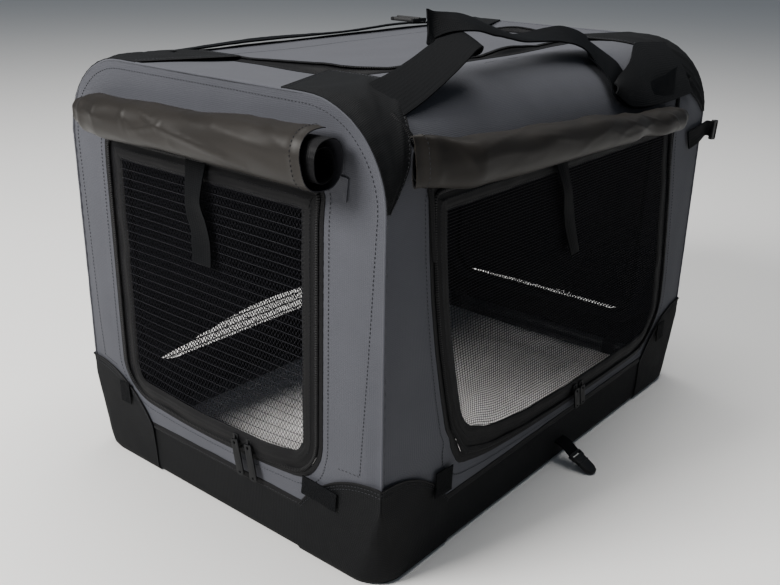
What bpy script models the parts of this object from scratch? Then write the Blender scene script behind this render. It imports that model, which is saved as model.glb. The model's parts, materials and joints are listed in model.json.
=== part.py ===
# Folding soft-sided dog travel crate: steel tube frame, sewn cover, mesh doors and base tray.
# Metres, +Z up. Origin on the floor under the middle. The door end faces -X, the long door side -Y.
import math

import bmesh
import bpy
from mathutils import Matrix, Vector

# Overall size over the fabric, without the rolled flaps and handles
LENGTH = 0.800
WIDTH = 0.550
HEIGHT = 0.580
SHOULDER_RADIUS = 0.112

# Clearance between pieces that touch, and cloth thicknesses
GAP = 0.0003
FABRIC = 0.0025
OVERLAY = 0.0015
NET_THICKNESS = 0.0015
WEBBING = 0.0020

# Base tray, corner guards, floor board and mat
TRAY_WALL = 0.0025
TRAY_HEIGHT = 0.072
TRAY_CORNER_RADIUS = 0.045
GUARD_REACH = 0.145
GUARD_OVERLAP = 0.012
GUARD_SHARP_HEIGHT = 0.115
GUARD_TOP_CORNER_RADIUS = 0.0018
BOARD_THICKNESS = 0.005
BOARD_CLEARANCE = 0.003
MAT_THICKNESS = 0.018
MAT_MARGIN = 0.010
MAT_EDGE_SHARE = 0.60
MAT_DRAWN_IN = 0.006

# Steel tube frame
TUBE_RADIUS = 0.008
BASE_CORNER_RADIUS = 0.050
LOWER_HOOP_CORNER_RADIUS = 0.040
CLIP_WALL = 0.0020
COUPLER_WALL = 0.0015
COUPLER_LENGTH = 0.070
SADDLE_LENGTH = 0.022
SADDLE_SPACING = 0.340
TEE_WALL = 0.0022
TEE_LENGTH = 0.030
TEE_SOCKET_DEPTH = 0.026
TEE_WEB = 0.0030

# Knee joint halfway up each hoop leg
KNEE_OFFSET = 0.0088
KNEE_EYE_RADIUS = 0.0055
KNEE_EYE_WIDTH = 0.0150
KNEE_CHEEK = 0.0015
KNEE_BRACKET_LENGTH = 0.048
KNEE_TUBE_CLEARANCE = 0.0010
RIVET_RADIUS = 0.0025
RIVET_HEAD_RADIUS = 0.0045
RIVET_HEAD = 0.0015
COVER_CLEARANCE = 0.0010
CORNER_CLEARANCE = 0.0010

# Doors and windows in the long sides and the ends
OPENING_TOP = 0.480
OPENING_TOP_RADIUS = 0.012
LONG_OPENING_WIDTH = 0.640
LONG_OPENING_BOTTOM = 0.097
LONG_OPENING_RADIUS = 0.070
END_OPENING_WIDTH = 0.386
END_OPENING_BOTTOM = 0.110
END_OPENING_RADIUS = 0.048
DOOR_CLEARANCE = 0.0010
DOOR_BINDING = 0.027
WINDOW_BINDING = 0.010
NET_BAR = 0.004
LONG_NET_COLUMNS = 11
LONG_NET_ROWS = 6
END_NET_COLUMNS = 6
END_NET_ROWS = 6

# Zipped flap in the roof
TOP_DOOR_LENGTH = 0.540
TOP_DOOR_FRONT = -0.118
TOP_DOOR_REAR = 0.124
TOP_DOOR_RADIUS = 0.085
TOP_DOOR_REAR_RADIUS = 0.012

# Rolled-up flaps, whose lumps wave round the roll and twist along it
ROLL_RADIUS = 0.0295
ROLL_STEP = 0.0045
ROLL_HEIGHT = 0.520
ROLL_SIDES = 16
ROLL_STATIONS = 13
ROLL_SEAM_ANGLE = 235
ROLL_LUMP = 0.0016
ROLL_LUMPS_ROUND = 3
ROLL_TWIST = 9.0
ROLL_WAVES = 14.0
ROLL_TUCK_SHARE = 0.16
ROLL_TUCK_POWER = 12
LONG_ROLL_LENGTH = 0.680
LONG_ROLL_PLACE = -0.030
END_ROLL_LENGTH = 0.474
END_ROLL_PLACE = -0.012

# Window flaps let down over the rear and right nets: held at the lower corners, bowed up between them
FLAP_TOP = 0.512
FLAP_MARGIN = 0.016
FLAP_FOOT_DROP = 0.006
FLAP_BOW = 0.042
FLAP_FOLD = 0.0035
LONG_FLAP_FOLDS = 4
END_FLAP_FOLDS = 3
FLAP_FOLD_STEPS = 8
FLAP_ROWS = 6

# Corner patches on the roof, which widen from a tip, and the carry handles sewn to them
PATCH_TIP_HEIGHT = 0.470
PATCH_TIP_SHARE = 0.22
PATCH_TIP_POWER = 0.6
PATCH_FLARE_SHARE = 0.6
PATCH_ROOF_EDGE = 0.125
PATCH_SIDE_WIDTH = 0.078
PATCH_HANDLE_LAP = 0.045
HANDLE_WIDTH = 0.050
HANDLE_REACH = 0.315
HANDLE_RISE = 0.0335
HANDLE_LINE = 0.170

# Straps and zip sliders
TIE_WIDTH = 0.024
TIE_TOP_DROP = 0.006
END_TIE_LENGTH = 0.125
END_TIE_PLACE = 0.018
LONG_TIE_LENGTH = 0.140
LONG_TIE_PLACE = -0.022
SLIDER_WIDTH = 0.010
SLIDER_HEIGHT = 0.013
SLIDER_DEPTH = 0.0045
PULL_WIDTH = 0.0065
PULL_LENGTH = 0.034
PULL_THICKNESS = 0.0018
END_SLIDER_PLACES = (-0.040, -0.066)
LONG_SLIDER_PLACE = 0.052
CLOSURE_PLACE = 0.012
CLOSURE_WIDTH = 0.025
CLOSURE_HEIGHT = 0.034
CLOSURE_STRAP_LENGTH = 0.030
BUCKLE_LENGTH = 0.034
BUCKLE_THICKNESS = 0.006
BUCKLE_BAR_LENGTH = 0.010
PRONG_WIDTH = 0.005
PRONG_THICKNESS = 0.0042
PRONG_ROOT = 0.003

# Reach of the cutting plates through the cloth, sides of the cutting discs, size of the axis marks
CUT_DEPTH = 0.025
DISC_SIDES = 48
AXIS_MARK = 0.050

# Cloth planes: the outer face of the wall panels lies inside the overlaid patches
SHELL_X = LENGTH / 2 - OVERLAY - GAP
SHELL_Y = WIDTH / 2 - OVERLAY - GAP
SHELL_Z = HEIGHT - OVERLAY - GAP
PANEL_FOOT = TRAY_HEIGHT + GAP
SHOULDER_FOOT = SHELL_Z - SHOULDER_RADIUS
SHOULDER_INNER = SHELL_Y - SHOULDER_RADIUS
WRAP_END = SHELL_X - FABRIC - GAP
PATCH_ROOF_WIDTH = SHELL_X - HANDLE_REACH + PATCH_HANDLE_LAP

# Frame lines that follow from the cloth planes
COUPLER_RADIUS = TUBE_RADIUS + GAP + COUPLER_WALL
CLIP_RADIUS = TUBE_RADIUS + GAP + CLIP_WALL
TEE_RADIUS = TUBE_RADIUS + GAP + TEE_WALL
KNEE_OUTBOARD = KNEE_OFFSET + KNEE_EYE_RADIUS + COVER_CLEARANCE
KNEE_HALF_WIDTH = TUBE_RADIUS + GAP + KNEE_CHEEK
KNEE_SIDE = KNEE_HALF_WIDTH + GAP + RIVET_HEAD + COVER_CLEARANCE
CORNER_ROOM = TRAY_CORNER_RADIUS - TRAY_WALL - TUBE_RADIUS - CORNER_CLEARANCE
CORNER_INSET = TRAY_CORNER_RADIUS - CORNER_ROOM / math.sqrt(2)
FRAME_X = SHELL_X - max(CORNER_INSET, FABRIC + KNEE_OUTBOARD)
FRAME_Y = SHELL_Y - max(CORNER_INSET, FABRIC + KNEE_SIDE)
BASE_TUBE_Z = TRAY_WALL + GAP + CLIP_RADIUS
PIVOT_Z = BASE_TUBE_Z + CLIP_RADIUS + TUBE_RADIUS + GAP
CROSSBAR_Z = SHELL_Z - FABRIC - COVER_CLEARANCE - TEE_RADIUS
KNEE_Z = (PIVOT_Z + CROSSBAR_Z) / 2
UPPER_HOOP_CORNER_RADIUS = SHOULDER_RADIUS - (SHELL_Y - FRAME_Y)
SPREADER_Y = FRAME_Y - UPPER_HOOP_CORNER_RADIUS - TEE_LENGTH / 2
SPREADER_END = FRAME_X - TUBE_RADIUS - GAP - TEE_WEB
BOARD_Z = TRAY_WALL + GAP
MAT_Z = BOARD_Z + BOARD_THICKNESS + GAP

# Outer faces of the nets, which lie in the middle of the cloth's thickness, and their hinge lines
NET_SET_BACK = (FABRIC - NET_THICKNESS) / 2
NET_FACE_X = SHELL_X - NET_SET_BACK
NET_FACE_Y = SHELL_Y - NET_SET_BACK
DOOR_HINGE_Z = OPENING_TOP - DOOR_CLEARANCE

# Inner faces of the flaps that hang over the windows, clear of the overlaid patches and guards
FLAP_FACE_X = LENGTH / 2 + GAP
FLAP_FACE_Y = WIDTH / 2 + GAP

LEFT, RIGHT = -1, 1
FRONT, REAR = -1, 1
SIDE_NAMES = {LEFT: "left", RIGHT: "right"}
FACE_NAMES = {FRONT: "front", REAR: "rear"}
ARC_STEPS = 6
ROUND_SIDES = 14

MATERIALS = {
    "grey_fabric": ("#606166", 0.85, 0.0),
    "black_fabric": ("#17181A", 0.80, 0.0),
    "flap_lining": ("#2E2C2A", 0.45, 0.0),
    "mesh_net": ("#1B1C1E", 0.70, 0.0),
    "webbing": ("#131416", 0.75, 0.0),
    "fleece": ("#8A8784", 0.95, 0.0),
    "floor_board": ("#5B5148", 0.80, 0.0),
    "steel_tube": ("#3A3C3F", 0.35, 0.9),
    "rivet_steel": ("#9A9C9E", 0.30, 1.0),
    "black_plastic": ("#151618", 0.45, 0.0),
    "black_zinc": ("#1D1E20", 0.40, 0.7),
}


def clear_scene():
    """Remove every object of the start file."""
    for obj in list(bpy.data.objects):
        bpy.data.objects.remove(obj, do_unlink=True)


def make_collection(name):
    """Make a collection in the scene."""
    collection = bpy.data.collections.new(name)
    bpy.context.scene.collection.children.link(collection)
    return collection


def linear(channel):
    """Turn one sRGB channel to linear light."""
    if channel <= 0.04045:
        return channel / 12.92
    return ((channel + 0.055) / 1.055) ** 2.4


def make_material(name):
    """Make the Principled material of that name."""
    code, roughness, metallic = MATERIALS[name]
    channels = [int(code[i:i + 2], 16) / 255 for i in (1, 3, 5)]
    material = bpy.data.materials.new(name)
    material.use_nodes = True
    shader = material.node_tree.nodes["Principled BSDF"]
    shader.inputs["Base Color"].default_value = [linear(c) for c in channels] + [1.0]
    shader.inputs["Roughness"].default_value = roughness
    shader.inputs["Metallic"].default_value = metallic
    return material


def place(name, mesh, collection, location=(0, 0, 0), rotation=(0, 0, 0)):
    """Link a mesh to a collection as a named object."""
    mesh.name = name
    obj = bpy.data.objects.new(name, mesh)
    obj.location = location
    obj.rotation_euler = rotation
    collection.objects.link(obj)
    return obj


def add_part(name, mesh, material, location=(0, 0, 0), rotation=(0, 0, 0), axis=None):
    """Link a mesh as a piece of the crate with its own material, hung on its joint's axis."""
    obj = place(name, mesh, PARTS, location, rotation)
    mesh.materials.clear()
    mesh.materials.append(make_material(material))
    if axis:
        hang(obj, AXES[axis])
    return obj


def world_place(obj):
    """World place of an object whose parents are moved but never turned."""
    spot = obj.location.copy()
    return spot + world_place(obj.parent) if obj.parent else spot


def hang(obj, axis):
    """Parent an object to the empty on a joint's axis and keep it where it is."""
    obj.location = obj.location - world_place(axis)
    obj.parent = axis


def add_axis(name, location, carrier=None):
    """Add an empty on a joint's axis, hung on the axis that carries it."""
    empty = bpy.data.objects.new(name + "_axis", None)
    empty.location = location
    empty.empty_display_size = AXIS_MARK
    PARTS.objects.link(empty)
    if carrier:
        hang(empty, AXES[carrier])
    AXES[name] = empty


def add_cutter(name, mesh, location=(0, 0, 0), rotation=(0, 0, 0)):
    """Link a mesh as a cutting or joining tool, which is left out of the crate."""
    obj = place(name, mesh, CUTTERS, location, rotation)
    obj.hide_render = True
    obj.display_type = "WIRE"
    return obj


def combine(obj, other, operation):
    """Cut or join another object with an exact Boolean."""
    modifier = obj.modifiers.new(operation.lower() + "_" + other.name, "BOOLEAN")
    modifier.operation = operation
    modifier.object = other
    modifier.solver = "EXACT"


def solidify(obj, thickness, offset):
    """Give an open surface its thickness."""
    modifier = obj.modifiers.new("thickness", "SOLIDIFY")
    modifier.thickness = thickness
    modifier.offset = offset
    modifier.use_even_offset = True


def shade_round(mesh, angle=40):
    """Shade a mesh smooth apart from its sharp edges."""
    mesh.shade_smooth()
    mesh.set_sharp_from_angle(angle=math.radians(angle))


def finish_mesh(bm, name):
    """Write a bmesh to a mesh with its faces pointing out."""
    bmesh.ops.recalc_face_normals(bm, faces=bm.faces)
    mesh = bpy.data.meshes.new(name)
    bm.to_mesh(mesh)
    bm.free()
    return mesh


def box_mesh(name, low, high):
    """Make a box between two corners."""
    bm = bmesh.new()
    low, high = Vector(low), Vector(high)
    size, centre = high - low, (high + low) / 2
    matrix = Matrix.Translation(centre) @ Matrix.Diagonal((*size, 1.0))
    bmesh.ops.create_cube(bm, size=1.0, matrix=matrix)
    return finish_mesh(bm, name)


def rod_mesh(name, radius, length, axis, sides=ROUND_SIDES, centre=(0, 0, 0)):
    """Make a cylinder along an axis, about a centre."""
    bm = bmesh.new()
    turn = Vector((0, 0, 1)).rotation_difference(Vector(axis)).to_matrix().to_4x4()
    matrix = Matrix.Translation(centre) @ turn
    bmesh.ops.create_cone(bm, cap_ends=True, segments=sides, radius1=radius, radius2=radius,
                          depth=length, matrix=matrix)
    mesh = finish_mesh(bm, name)
    shade_round(mesh)
    return mesh


def arc(centre, radius, start, end, steps=ARC_STEPS):
    """Points of an arc in a plane, from one angle to another in degrees."""
    points = []
    for i in range(steps + 1):
        angle = math.radians(start + (end - start) * i / steps)
        points.append((centre[0] + radius * math.cos(angle), centre[1] + radius * math.sin(angle)))
    return points


def rounded_outline(low, high, radii):
    """Rectangle outline with a radius for each corner: low left, low right, top right, top left."""
    corners = (
        (low[0] + radii[0], low[1] + radii[0], 180),
        (high[0] - radii[1], low[1] + radii[1], 270),
        (high[0] - radii[2], high[1] - radii[2], 0),
        (low[0] + radii[3], high[1] - radii[3], 90),
    )
    points = []
    for (x, y, start), radius in zip(corners, radii):
        points += arc((x, y), radius, start, start + 90)
    return points


def curve_to_mesh(curve):
    """Turn a curve into a welded mesh and remove the curve."""
    obj = bpy.data.objects.new("outline", curve)
    bpy.context.scene.collection.objects.link(obj)
    graph = bpy.context.evaluated_depsgraph_get()
    mesh = bpy.data.meshes.new_from_object(obj.evaluated_get(graph))
    bpy.data.objects.remove(obj, do_unlink=True)
    bm = bmesh.new()
    bm.from_mesh(mesh)
    bmesh.ops.remove_doubles(bm, verts=bm.verts, dist=0.00001)
    bpy.data.meshes.remove(mesh)
    return bm


def add_spline(curve, points, closed):
    """Add a straight-sided spline through the points."""
    spline = curve.splines.new("POLY")
    spline.points.add(len(points) - 1)
    for target, point in zip(spline.points, points):
        x, y, z = (*point, 0.0)[:3]
        target.co = (x, y, z, 1.0)
    spline.use_cyclic_u = closed


def plate_mesh(name, outline, holes, thickness):
    """Make a flat plate from an outline and its holes, in its own XY plane."""
    curve = bpy.data.curves.new(name, "CURVE")
    curve.dimensions = "2D"
    curve.fill_mode = "BOTH"
    curve.extrude = thickness / 2
    for points in [outline] + holes:
        add_spline(curve, points, True)
    return finish_mesh(curve_to_mesh(curve), name)


def tube_mesh(name, points, radius=TUBE_RADIUS, resolution=3):
    """Make a capped round tube along the points."""
    curve = bpy.data.curves.new(name, "CURVE")
    curve.dimensions = "3D"
    curve.bevel_depth = radius
    curve.bevel_resolution = resolution
    curve.use_fill_caps = True
    add_spline(curve, points, False)
    mesh = finish_mesh(curve_to_mesh(curve), name)
    shade_round(mesh, 50)
    return mesh


def bent_path(corners, radius, steps=ARC_STEPS):
    """Path through corner points with each inner corner bent to a radius."""
    points = [Vector(corners[0])]
    for before, corner, after in zip(corners, corners[1:], corners[2:]):
        corner = Vector(corner)
        into = (Vector(before) - corner).normalized()
        out = (Vector(after) - corner).normalized()
        centre = corner + (into + out) * radius
        for i in range(steps + 1):
            turn = math.radians(90 * i / steps)
            points.append(centre - out * radius * math.cos(turn) - into * radius * math.sin(turn))
    points.append(Vector(corners[-1]))
    return points


def grid_mesh(name, columns, rows, point):
    """Make an open sheet whose point(u, v) is given for u and v from 0 to 1."""
    bm = bmesh.new()
    bmesh.ops.create_grid(bm, x_segments=columns, y_segments=rows, size=0.5)
    for vertex in bm.verts:
        vertex.co = point(vertex.co.x + 0.5, vertex.co.y + 0.5)
    mesh = bpy.data.meshes.new(name)
    bm.to_mesh(mesh)
    bm.free()
    return mesh


def make_axes():
    """Empties on the axes of the folding frame, the doors, the roof flap, handles and closure."""
    for side in (LEFT, RIGHT):
        place_name = SIDE_NAMES[side]
        add_axis("fold_" + place_name, (side * FRAME_X, 0, PIVOT_Z))
        knee = (side * (FRAME_X + KNEE_OFFSET), 0, KNEE_Z)
        add_axis("knee_" + place_name, knee, "fold_" + place_name)
    add_axis("roof", (LEFT * FRAME_X, 0, CROSSBAR_Z), "knee_left")
    add_axis("roof_door", (0, TOP_DOOR_REAR - DOOR_CLEARANCE, SHELL_Z), "roof")
    for face in (FRONT, REAR):
        line = face * (HANDLE_LINE + HANDLE_WIDTH / 2)
        add_axis(FACE_NAMES[face] + "_handle", (0, line, HEIGHT), "roof")
    add_axis("front_door", (0, FRONT * NET_FACE_Y, DOOR_HINGE_Z))
    add_axis("left_door", (LEFT * NET_FACE_X, 0, DOOR_HINGE_Z))
    add_axis("rear_flap", (0, REAR * FLAP_FACE_Y, FLAP_TOP))
    add_axis("right_flap", (RIGHT * FLAP_FACE_X, 0, FLAP_TOP))
    add_axis("closure", (0, FRONT * (WIDTH / 2 + GAP), CLOSURE_HEIGHT))


def make_base_tray():
    """Black tub that the crate stands on, with rounded corners."""
    bm = bmesh.new()
    size = Matrix.Diagonal((2 * SHELL_X, 2 * SHELL_Y, TRAY_HEIGHT, 1.0))
    bmesh.ops.create_cube(bm, size=1.0, matrix=Matrix.Translation((0, 0, TRAY_HEIGHT / 2)) @ size)
    uprights = [e for e in bm.edges if abs(e.verts[0].co.z - e.verts[1].co.z) > GAP]
    bmesh.ops.bevel(bm, geom=uprights, offset=TRAY_CORNER_RADIUS, segments=ARC_STEPS,
                    affect="EDGES", profile=0.5)
    lid = [f for f in bm.faces if f.calc_center_median().z > TRAY_HEIGHT - GAP]
    bmesh.ops.delete(bm, geom=lid, context="FACES_ONLY")
    bmesh.ops.recalc_face_normals(bm, faces=bm.faces)
    mesh = bpy.data.meshes.new("base_tray")
    bm.to_mesh(mesh)
    bm.free()
    tray = add_part("base_tray", mesh, "black_fabric")
    solidify(tray, TRAY_WALL, -1)


def guard_radius(height):
    """Plan radius of a corner guard, wide at the floor and sharp above its arc's flanks."""
    share = max(0.0, 1 - height / GUARD_SHARP_HEIGHT)
    return GUARD_TOP_CORNER_RADIUS + (TRAY_CORNER_RADIUS - GUARD_TOP_CORNER_RADIUS) * share


def guard_point(share, height, half_length):
    """Plan point of the guard's outer face, and its distance round the corner from the middle."""
    radius = guard_radius(height)
    half_arc = radius * math.pi / 4
    flank = 3 * abs(share) - 1
    if flank <= 0:
        distance = 3 * share * half_arc
        angle = math.pi / 4 + distance / radius
        x = LENGTH / 2 - radius + radius * math.cos(angle)
        y = WIDTH / 2 - radius + radius * math.sin(angle)
        return x, y, distance
    straight = (half_length - half_arc) * flank / 2
    if share < 0:
        return LENGTH / 2, WIDTH / 2 - radius - straight, half_arc + straight
    return LENGTH / 2 - radius - straight, WIDTH / 2, half_arc + straight


def make_corner_guards():
    """Black patches round the four lower corners, each with a round upper edge."""
    half_length = math.sqrt(GUARD_REACH ** 2 - TRAY_HEIGHT ** 2)

    def point(u, v):
        share = 2 * u - 1
        top = GUARD_REACH
        for _ in range(ARC_STEPS):
            distance = min(abs(guard_point(share, top, half_length)[2]), half_length)
            top = math.sqrt(GUARD_REACH ** 2 - distance ** 2)
        height = GAP + (top - GAP) * v
        x, y, _ = guard_point(share, height, half_length)
        return x, y, height

    for side in (LEFT, RIGHT):
        for face in (FRONT, REAR):
            name = "corner_guard_%s_%s" % (FACE_NAMES[face], SIDE_NAMES[side])
            mesh = grid_mesh(name, 3 * ARC_STEPS, 5, point)
            mesh.transform(Matrix.Diagonal((side, face, 1, 1)))
            guard = add_part(name, mesh, "black_fabric")
            solidify(guard, OVERLAY, -1 if side == face else 1)


def make_floor():
    """Stiff floor board in the base ring, and the fleece mat on it."""
    half_x = FRAME_X - COUPLER_RADIUS - BOARD_CLEARANCE
    half_y = FRAME_Y - COUPLER_RADIUS - BOARD_CLEARANCE
    outline = rounded_outline((-half_x, -half_y), (half_x, half_y), [BASE_CORNER_RADIUS] * 4)
    board = plate_mesh("floor_board", outline, [], BOARD_THICKNESS)
    add_part("floor_board", board, "floor_board", (0, 0, BOARD_Z + BOARD_THICKNESS / 2))

    add_part("floor_mat", mat_mesh(half_x - MAT_MARGIN, half_y - MAT_MARGIN), "fleece")
    mat = bpy.data.objects["floor_mat"]
    soft = mat.modifiers.new("soft", "SUBSURF")
    soft.levels = 1
    soft.render_levels = 1


def mat_mesh(half_x, half_y):
    """Fleece pad: flat below, crowned above, with sides drawn in between the corners."""
    bm = bmesh.new()
    bmesh.ops.create_cube(bm, size=2.0)
    bmesh.ops.subdivide_edges(bm, edges=bm.edges, cuts=3, use_grid_fill=True)
    for vertex in bm.verts:
        x, y, z = vertex.co
        crown = (1 - x ** 6) * (1 - y ** 6)
        level = MAT_THICKNESS * (MAT_EDGE_SHARE + (1 - MAT_EDGE_SHARE) * crown)
        draw_x = MAT_DRAWN_IN * (1 - y * y)
        draw_y = MAT_DRAWN_IN * (1 - x * x)
        vertex.co = (x * (half_x - draw_x), y * (half_y - draw_y), MAT_Z + level * (z + 1) / 2)
    return finish_mesh(bm, "floor_mat")


def make_base_frame():
    """Base ring of two bent tubes, and the sleeves that join them at the long sides."""
    for side in (LEFT, RIGHT):
        corners = [(side * GAP, -FRAME_Y, BASE_TUBE_Z), (side * FRAME_X, -FRAME_Y, BASE_TUBE_Z),
                   (side * FRAME_X, FRAME_Y, BASE_TUBE_Z), (side * GAP, FRAME_Y, BASE_TUBE_Z)]
        name = "base_frame_" + SIDE_NAMES[side]
        add_part(name, tube_mesh(name, bent_path(corners, BASE_CORNER_RADIUS)), "steel_tube")
    for face in (FRONT, REAR):
        name = "base_coupler_" + FACE_NAMES[face]
        sleeve = rod_mesh(name, COUPLER_RADIUS, COUPLER_LENGTH, (1, 0, 0))
        bore = rod_mesh(name + "_bore", TUBE_RADIUS + GAP, 2 * COUPLER_LENGTH, (1, 0, 0))
        location = (0, face * FRAME_Y, BASE_TUBE_Z)
        combine(add_part(name, sleeve, "black_plastic", location),
                add_cutter(name + "_bore", bore, location), "DIFFERENCE")


def make_saddles():
    """Clips on the base ring that the lower hoops turn in."""
    for side in (LEFT, RIGHT):
        for face in (FRONT, REAR):
            name = "hoop_saddle_%s_%s" % (FACE_NAMES[face], SIDE_NAMES[side])
            middle = (PIVOT_Z + BASE_TUBE_Z) / 2
            rise = (PIVOT_Z - BASE_TUBE_Z) / 2
            low = (-CLIP_RADIUS, -SADDLE_LENGTH / 2, -rise - CLIP_RADIUS)
            high = (CLIP_RADIUS, SADDLE_LENGTH / 2, rise + CLIP_RADIUS)
            location = (side * FRAME_X, face * SADDLE_SPACING / 2, middle)
            saddle = add_part(name, box_mesh(name, low, high), "black_plastic", location)
            for label, height in (("lower", -rise), ("upper", rise)):
                bore = rod_mesh(name, TUBE_RADIUS + GAP, 2 * SADDLE_LENGTH, (0, 1, 0),
                                centre=(0, 0, height))
                combine(saddle, add_cutter(name + "_bore_" + label, bore, location), "DIFFERENCE")


def make_lower_hoops():
    """Lower half hoops: a turning foot tube and two legs up to the knees."""
    leg_top = KNEE_Z - KNEE_EYE_RADIUS - KNEE_TUBE_CLEARANCE - PIVOT_Z
    for side in (LEFT, RIGHT):
        corners = [(0, -FRAME_Y, leg_top), (0, -FRAME_Y, 0), (0, FRAME_Y, 0), (0, FRAME_Y, leg_top)]
        name = "lower_hoop_" + SIDE_NAMES[side]
        mesh = tube_mesh(name, bent_path(corners, LOWER_HOOP_CORNER_RADIUS))
        axis = "fold_" + SIDE_NAMES[side]
        add_part(name, mesh, "steel_tube", (side * FRAME_X, 0, PIVOT_Z), axis=axis)


def make_upper_hoops():
    """Upper half hoops: two legs with eyes for the knees and a crossbar with round corners."""
    rise = CROSSBAR_Z - KNEE_Z
    for side in (LEFT, RIGHT):
        name = "upper_hoop_" + SIDE_NAMES[side]
        inboard = -side * KNEE_OFFSET
        foot = KNEE_TUBE_CLEARANCE
        corners = [(inboard, -FRAME_Y, foot), (inboard, -FRAME_Y, rise), (inboard, FRAME_Y, rise),
                   (inboard, FRAME_Y, foot)]
        location = (side * (FRAME_X + KNEE_OFFSET), 0, KNEE_Z)
        mesh = tube_mesh(name, bent_path(corners, UPPER_HOOP_CORNER_RADIUS))
        hoop = add_part(name, mesh, "steel_tube", location, axis="knee_" + SIDE_NAMES[side])
        for face in (FRONT, REAR):
            label = "%s_%s" % (name, FACE_NAMES[face])
            centre = (0, face * FRAME_Y, 0)
            eye = rod_mesh(label, KNEE_EYE_RADIUS, KNEE_EYE_WIDTH, (0, 1, 0), centre=centre)
            combine(hoop, add_cutter(label + "_eye", eye, location), "UNION")
            bore = rod_mesh(label, RIVET_RADIUS + GAP, 4 * TUBE_RADIUS, (0, 1, 0), centre=centre)
            combine(hoop, add_cutter(label + "_bore", bore, location), "DIFFERENCE")


def make_knees():
    """Channel bracket on each lower leg, and the rivet that its upper leg folds on."""
    for side in (LEFT, RIGHT):
        for face in (FRONT, REAR):
            place_name = "%s_%s" % (FACE_NAMES[face], SIDE_NAMES[side])
            location = (side * (FRAME_X + KNEE_OFFSET), face * FRAME_Y, KNEE_Z)
            web_face = KNEE_OFFSET + TUBE_RADIUS + GAP
            bracket = box_mesh("knee_bracket", (-KNEE_EYE_RADIUS, -KNEE_HALF_WIDTH, -KNEE_BRACKET_LENGTH),
                               (web_face + KNEE_CHEEK, KNEE_HALF_WIDTH, KNEE_EYE_RADIUS))
            slot_half = TUBE_RADIUS + GAP
            slot = box_mesh("knee_slot", (-2 * KNEE_EYE_RADIUS, -slot_half, -2 * KNEE_BRACKET_LENGTH),
                            (web_face, slot_half, 2 * KNEE_EYE_RADIUS))
            for mesh in (bracket, slot):
                mesh.transform(Matrix.Rotation(math.pi if side == RIGHT else 0, 4, "Z"))
            name = "knee_bracket_" + place_name
            axis = "fold_" + SIDE_NAMES[side]
            body = add_part(name, bracket, "steel_tube", location, axis=axis)
            combine(body, add_cutter(name + "_slot", slot, location), "DIFFERENCE")
            bore = rod_mesh(name, RIVET_RADIUS + GAP, 4 * KNEE_HALF_WIDTH, (0, 1, 0))
            combine(body, add_cutter(name + "_bore", bore, location), "DIFFERENCE")
            add_part("knee_rivet_" + place_name, rivet_mesh(), "rivet_steel", location,
                     (math.radians(90), 0, 0), axis)


def rivet_mesh():
    """Rivet with a head at each end, turned about its own Z axis."""
    shank = KNEE_HALF_WIDTH + GAP
    end = shank + RIVET_HEAD
    profile = [(0, end), (RIVET_HEAD_RADIUS, end), (RIVET_HEAD_RADIUS, shank), (RIVET_RADIUS, shank),
               (RIVET_RADIUS, -shank), (RIVET_HEAD_RADIUS, -shank), (RIVET_HEAD_RADIUS, -end), (0, -end)]
    bm = bmesh.new()
    vertices = [bm.verts.new((x, 0, z)) for x, z in profile]
    edges = [bm.edges.new(pair) for pair in zip(vertices, vertices[1:])]
    bmesh.ops.spin(bm, geom=vertices + edges, cent=(0, 0, 0), axis=(0, 0, 1), angle=2 * math.pi,
                   steps=ROUND_SIDES, use_merge=True)
    bmesh.ops.remove_doubles(bm, verts=bm.verts, dist=0.00001)
    return finish_mesh(bm, "knee_rivet")


def make_spreaders():
    """Two bars along the roof, and the tees that swivel on the hoop crossbars."""
    for face in (FRONT, REAR):
        name = "spreader_bar_" + FACE_NAMES[face]
        rod = rod_mesh(name, TUBE_RADIUS, 2 * SPREADER_END, (1, 0, 0))
        add_part(name, rod, "steel_tube", (0, face * SPREADER_Y, CROSSBAR_Z), axis="roof")
        for side in (LEFT, RIGHT):
            make_tee(face, side)


def make_tee(face, side):
    """Plastic tee: a sleeve on the crossbar and a socket for the spreader bar."""
    name = "roof_tee_%s_%s" % (FACE_NAMES[face], SIDE_NAMES[side])
    location = (side * FRAME_X, face * SPREADER_Y, CROSSBAR_Z)
    sleeve = rod_mesh(name, TEE_RADIUS, TEE_LENGTH, (0, 1, 0))
    tee = add_part(name, sleeve, "black_plastic", location, axis="roof")
    reach = TUBE_RADIUS + GAP + TEE_WEB + TEE_SOCKET_DEPTH
    centre = (-side * reach / 2, 0, 0)
    socket = rod_mesh(name, TEE_RADIUS, reach, (1, 0, 0), centre=centre)
    combine(tee, add_cutter(name + "_socket", socket, location), "UNION")
    start = TUBE_RADIUS + TEE_WEB
    bore_length = 2 * TEE_SOCKET_DEPTH
    centre = (-side * (start + bore_length / 2), 0, 0)
    bore = rod_mesh(name, TUBE_RADIUS + GAP, bore_length, (1, 0, 0), centre=centre)
    combine(tee, add_cutter(name + "_socket_bore", bore, location), "DIFFERENCE")
    bore = rod_mesh(name, TUBE_RADIUS + GAP, 2 * TEE_LENGTH, (0, 1, 0))
    combine(tee, add_cutter(name + "_sleeve_bore", bore, location), "DIFFERENCE")


def opening_outline(face_is_long, inset):
    """Outline of a door or window opening, drawn in by an inset."""
    width = LONG_OPENING_WIDTH if face_is_long else END_OPENING_WIDTH
    bottom = LONG_OPENING_BOTTOM if face_is_long else END_OPENING_BOTTOM
    radius = (LONG_OPENING_RADIUS if face_is_long else END_OPENING_RADIUS) - inset
    top_radius = max(OPENING_TOP_RADIUS - inset, OPENING_TOP_RADIUS / 2)
    half = width / 2 - inset
    return rounded_outline((-half, bottom + inset), (half, OPENING_TOP - inset),
                           [radius, radius, top_radius, top_radius])


def long_rotation():
    """Rotation that stands a plate in the plane of a long side."""
    return math.radians(90), 0, 0


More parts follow.
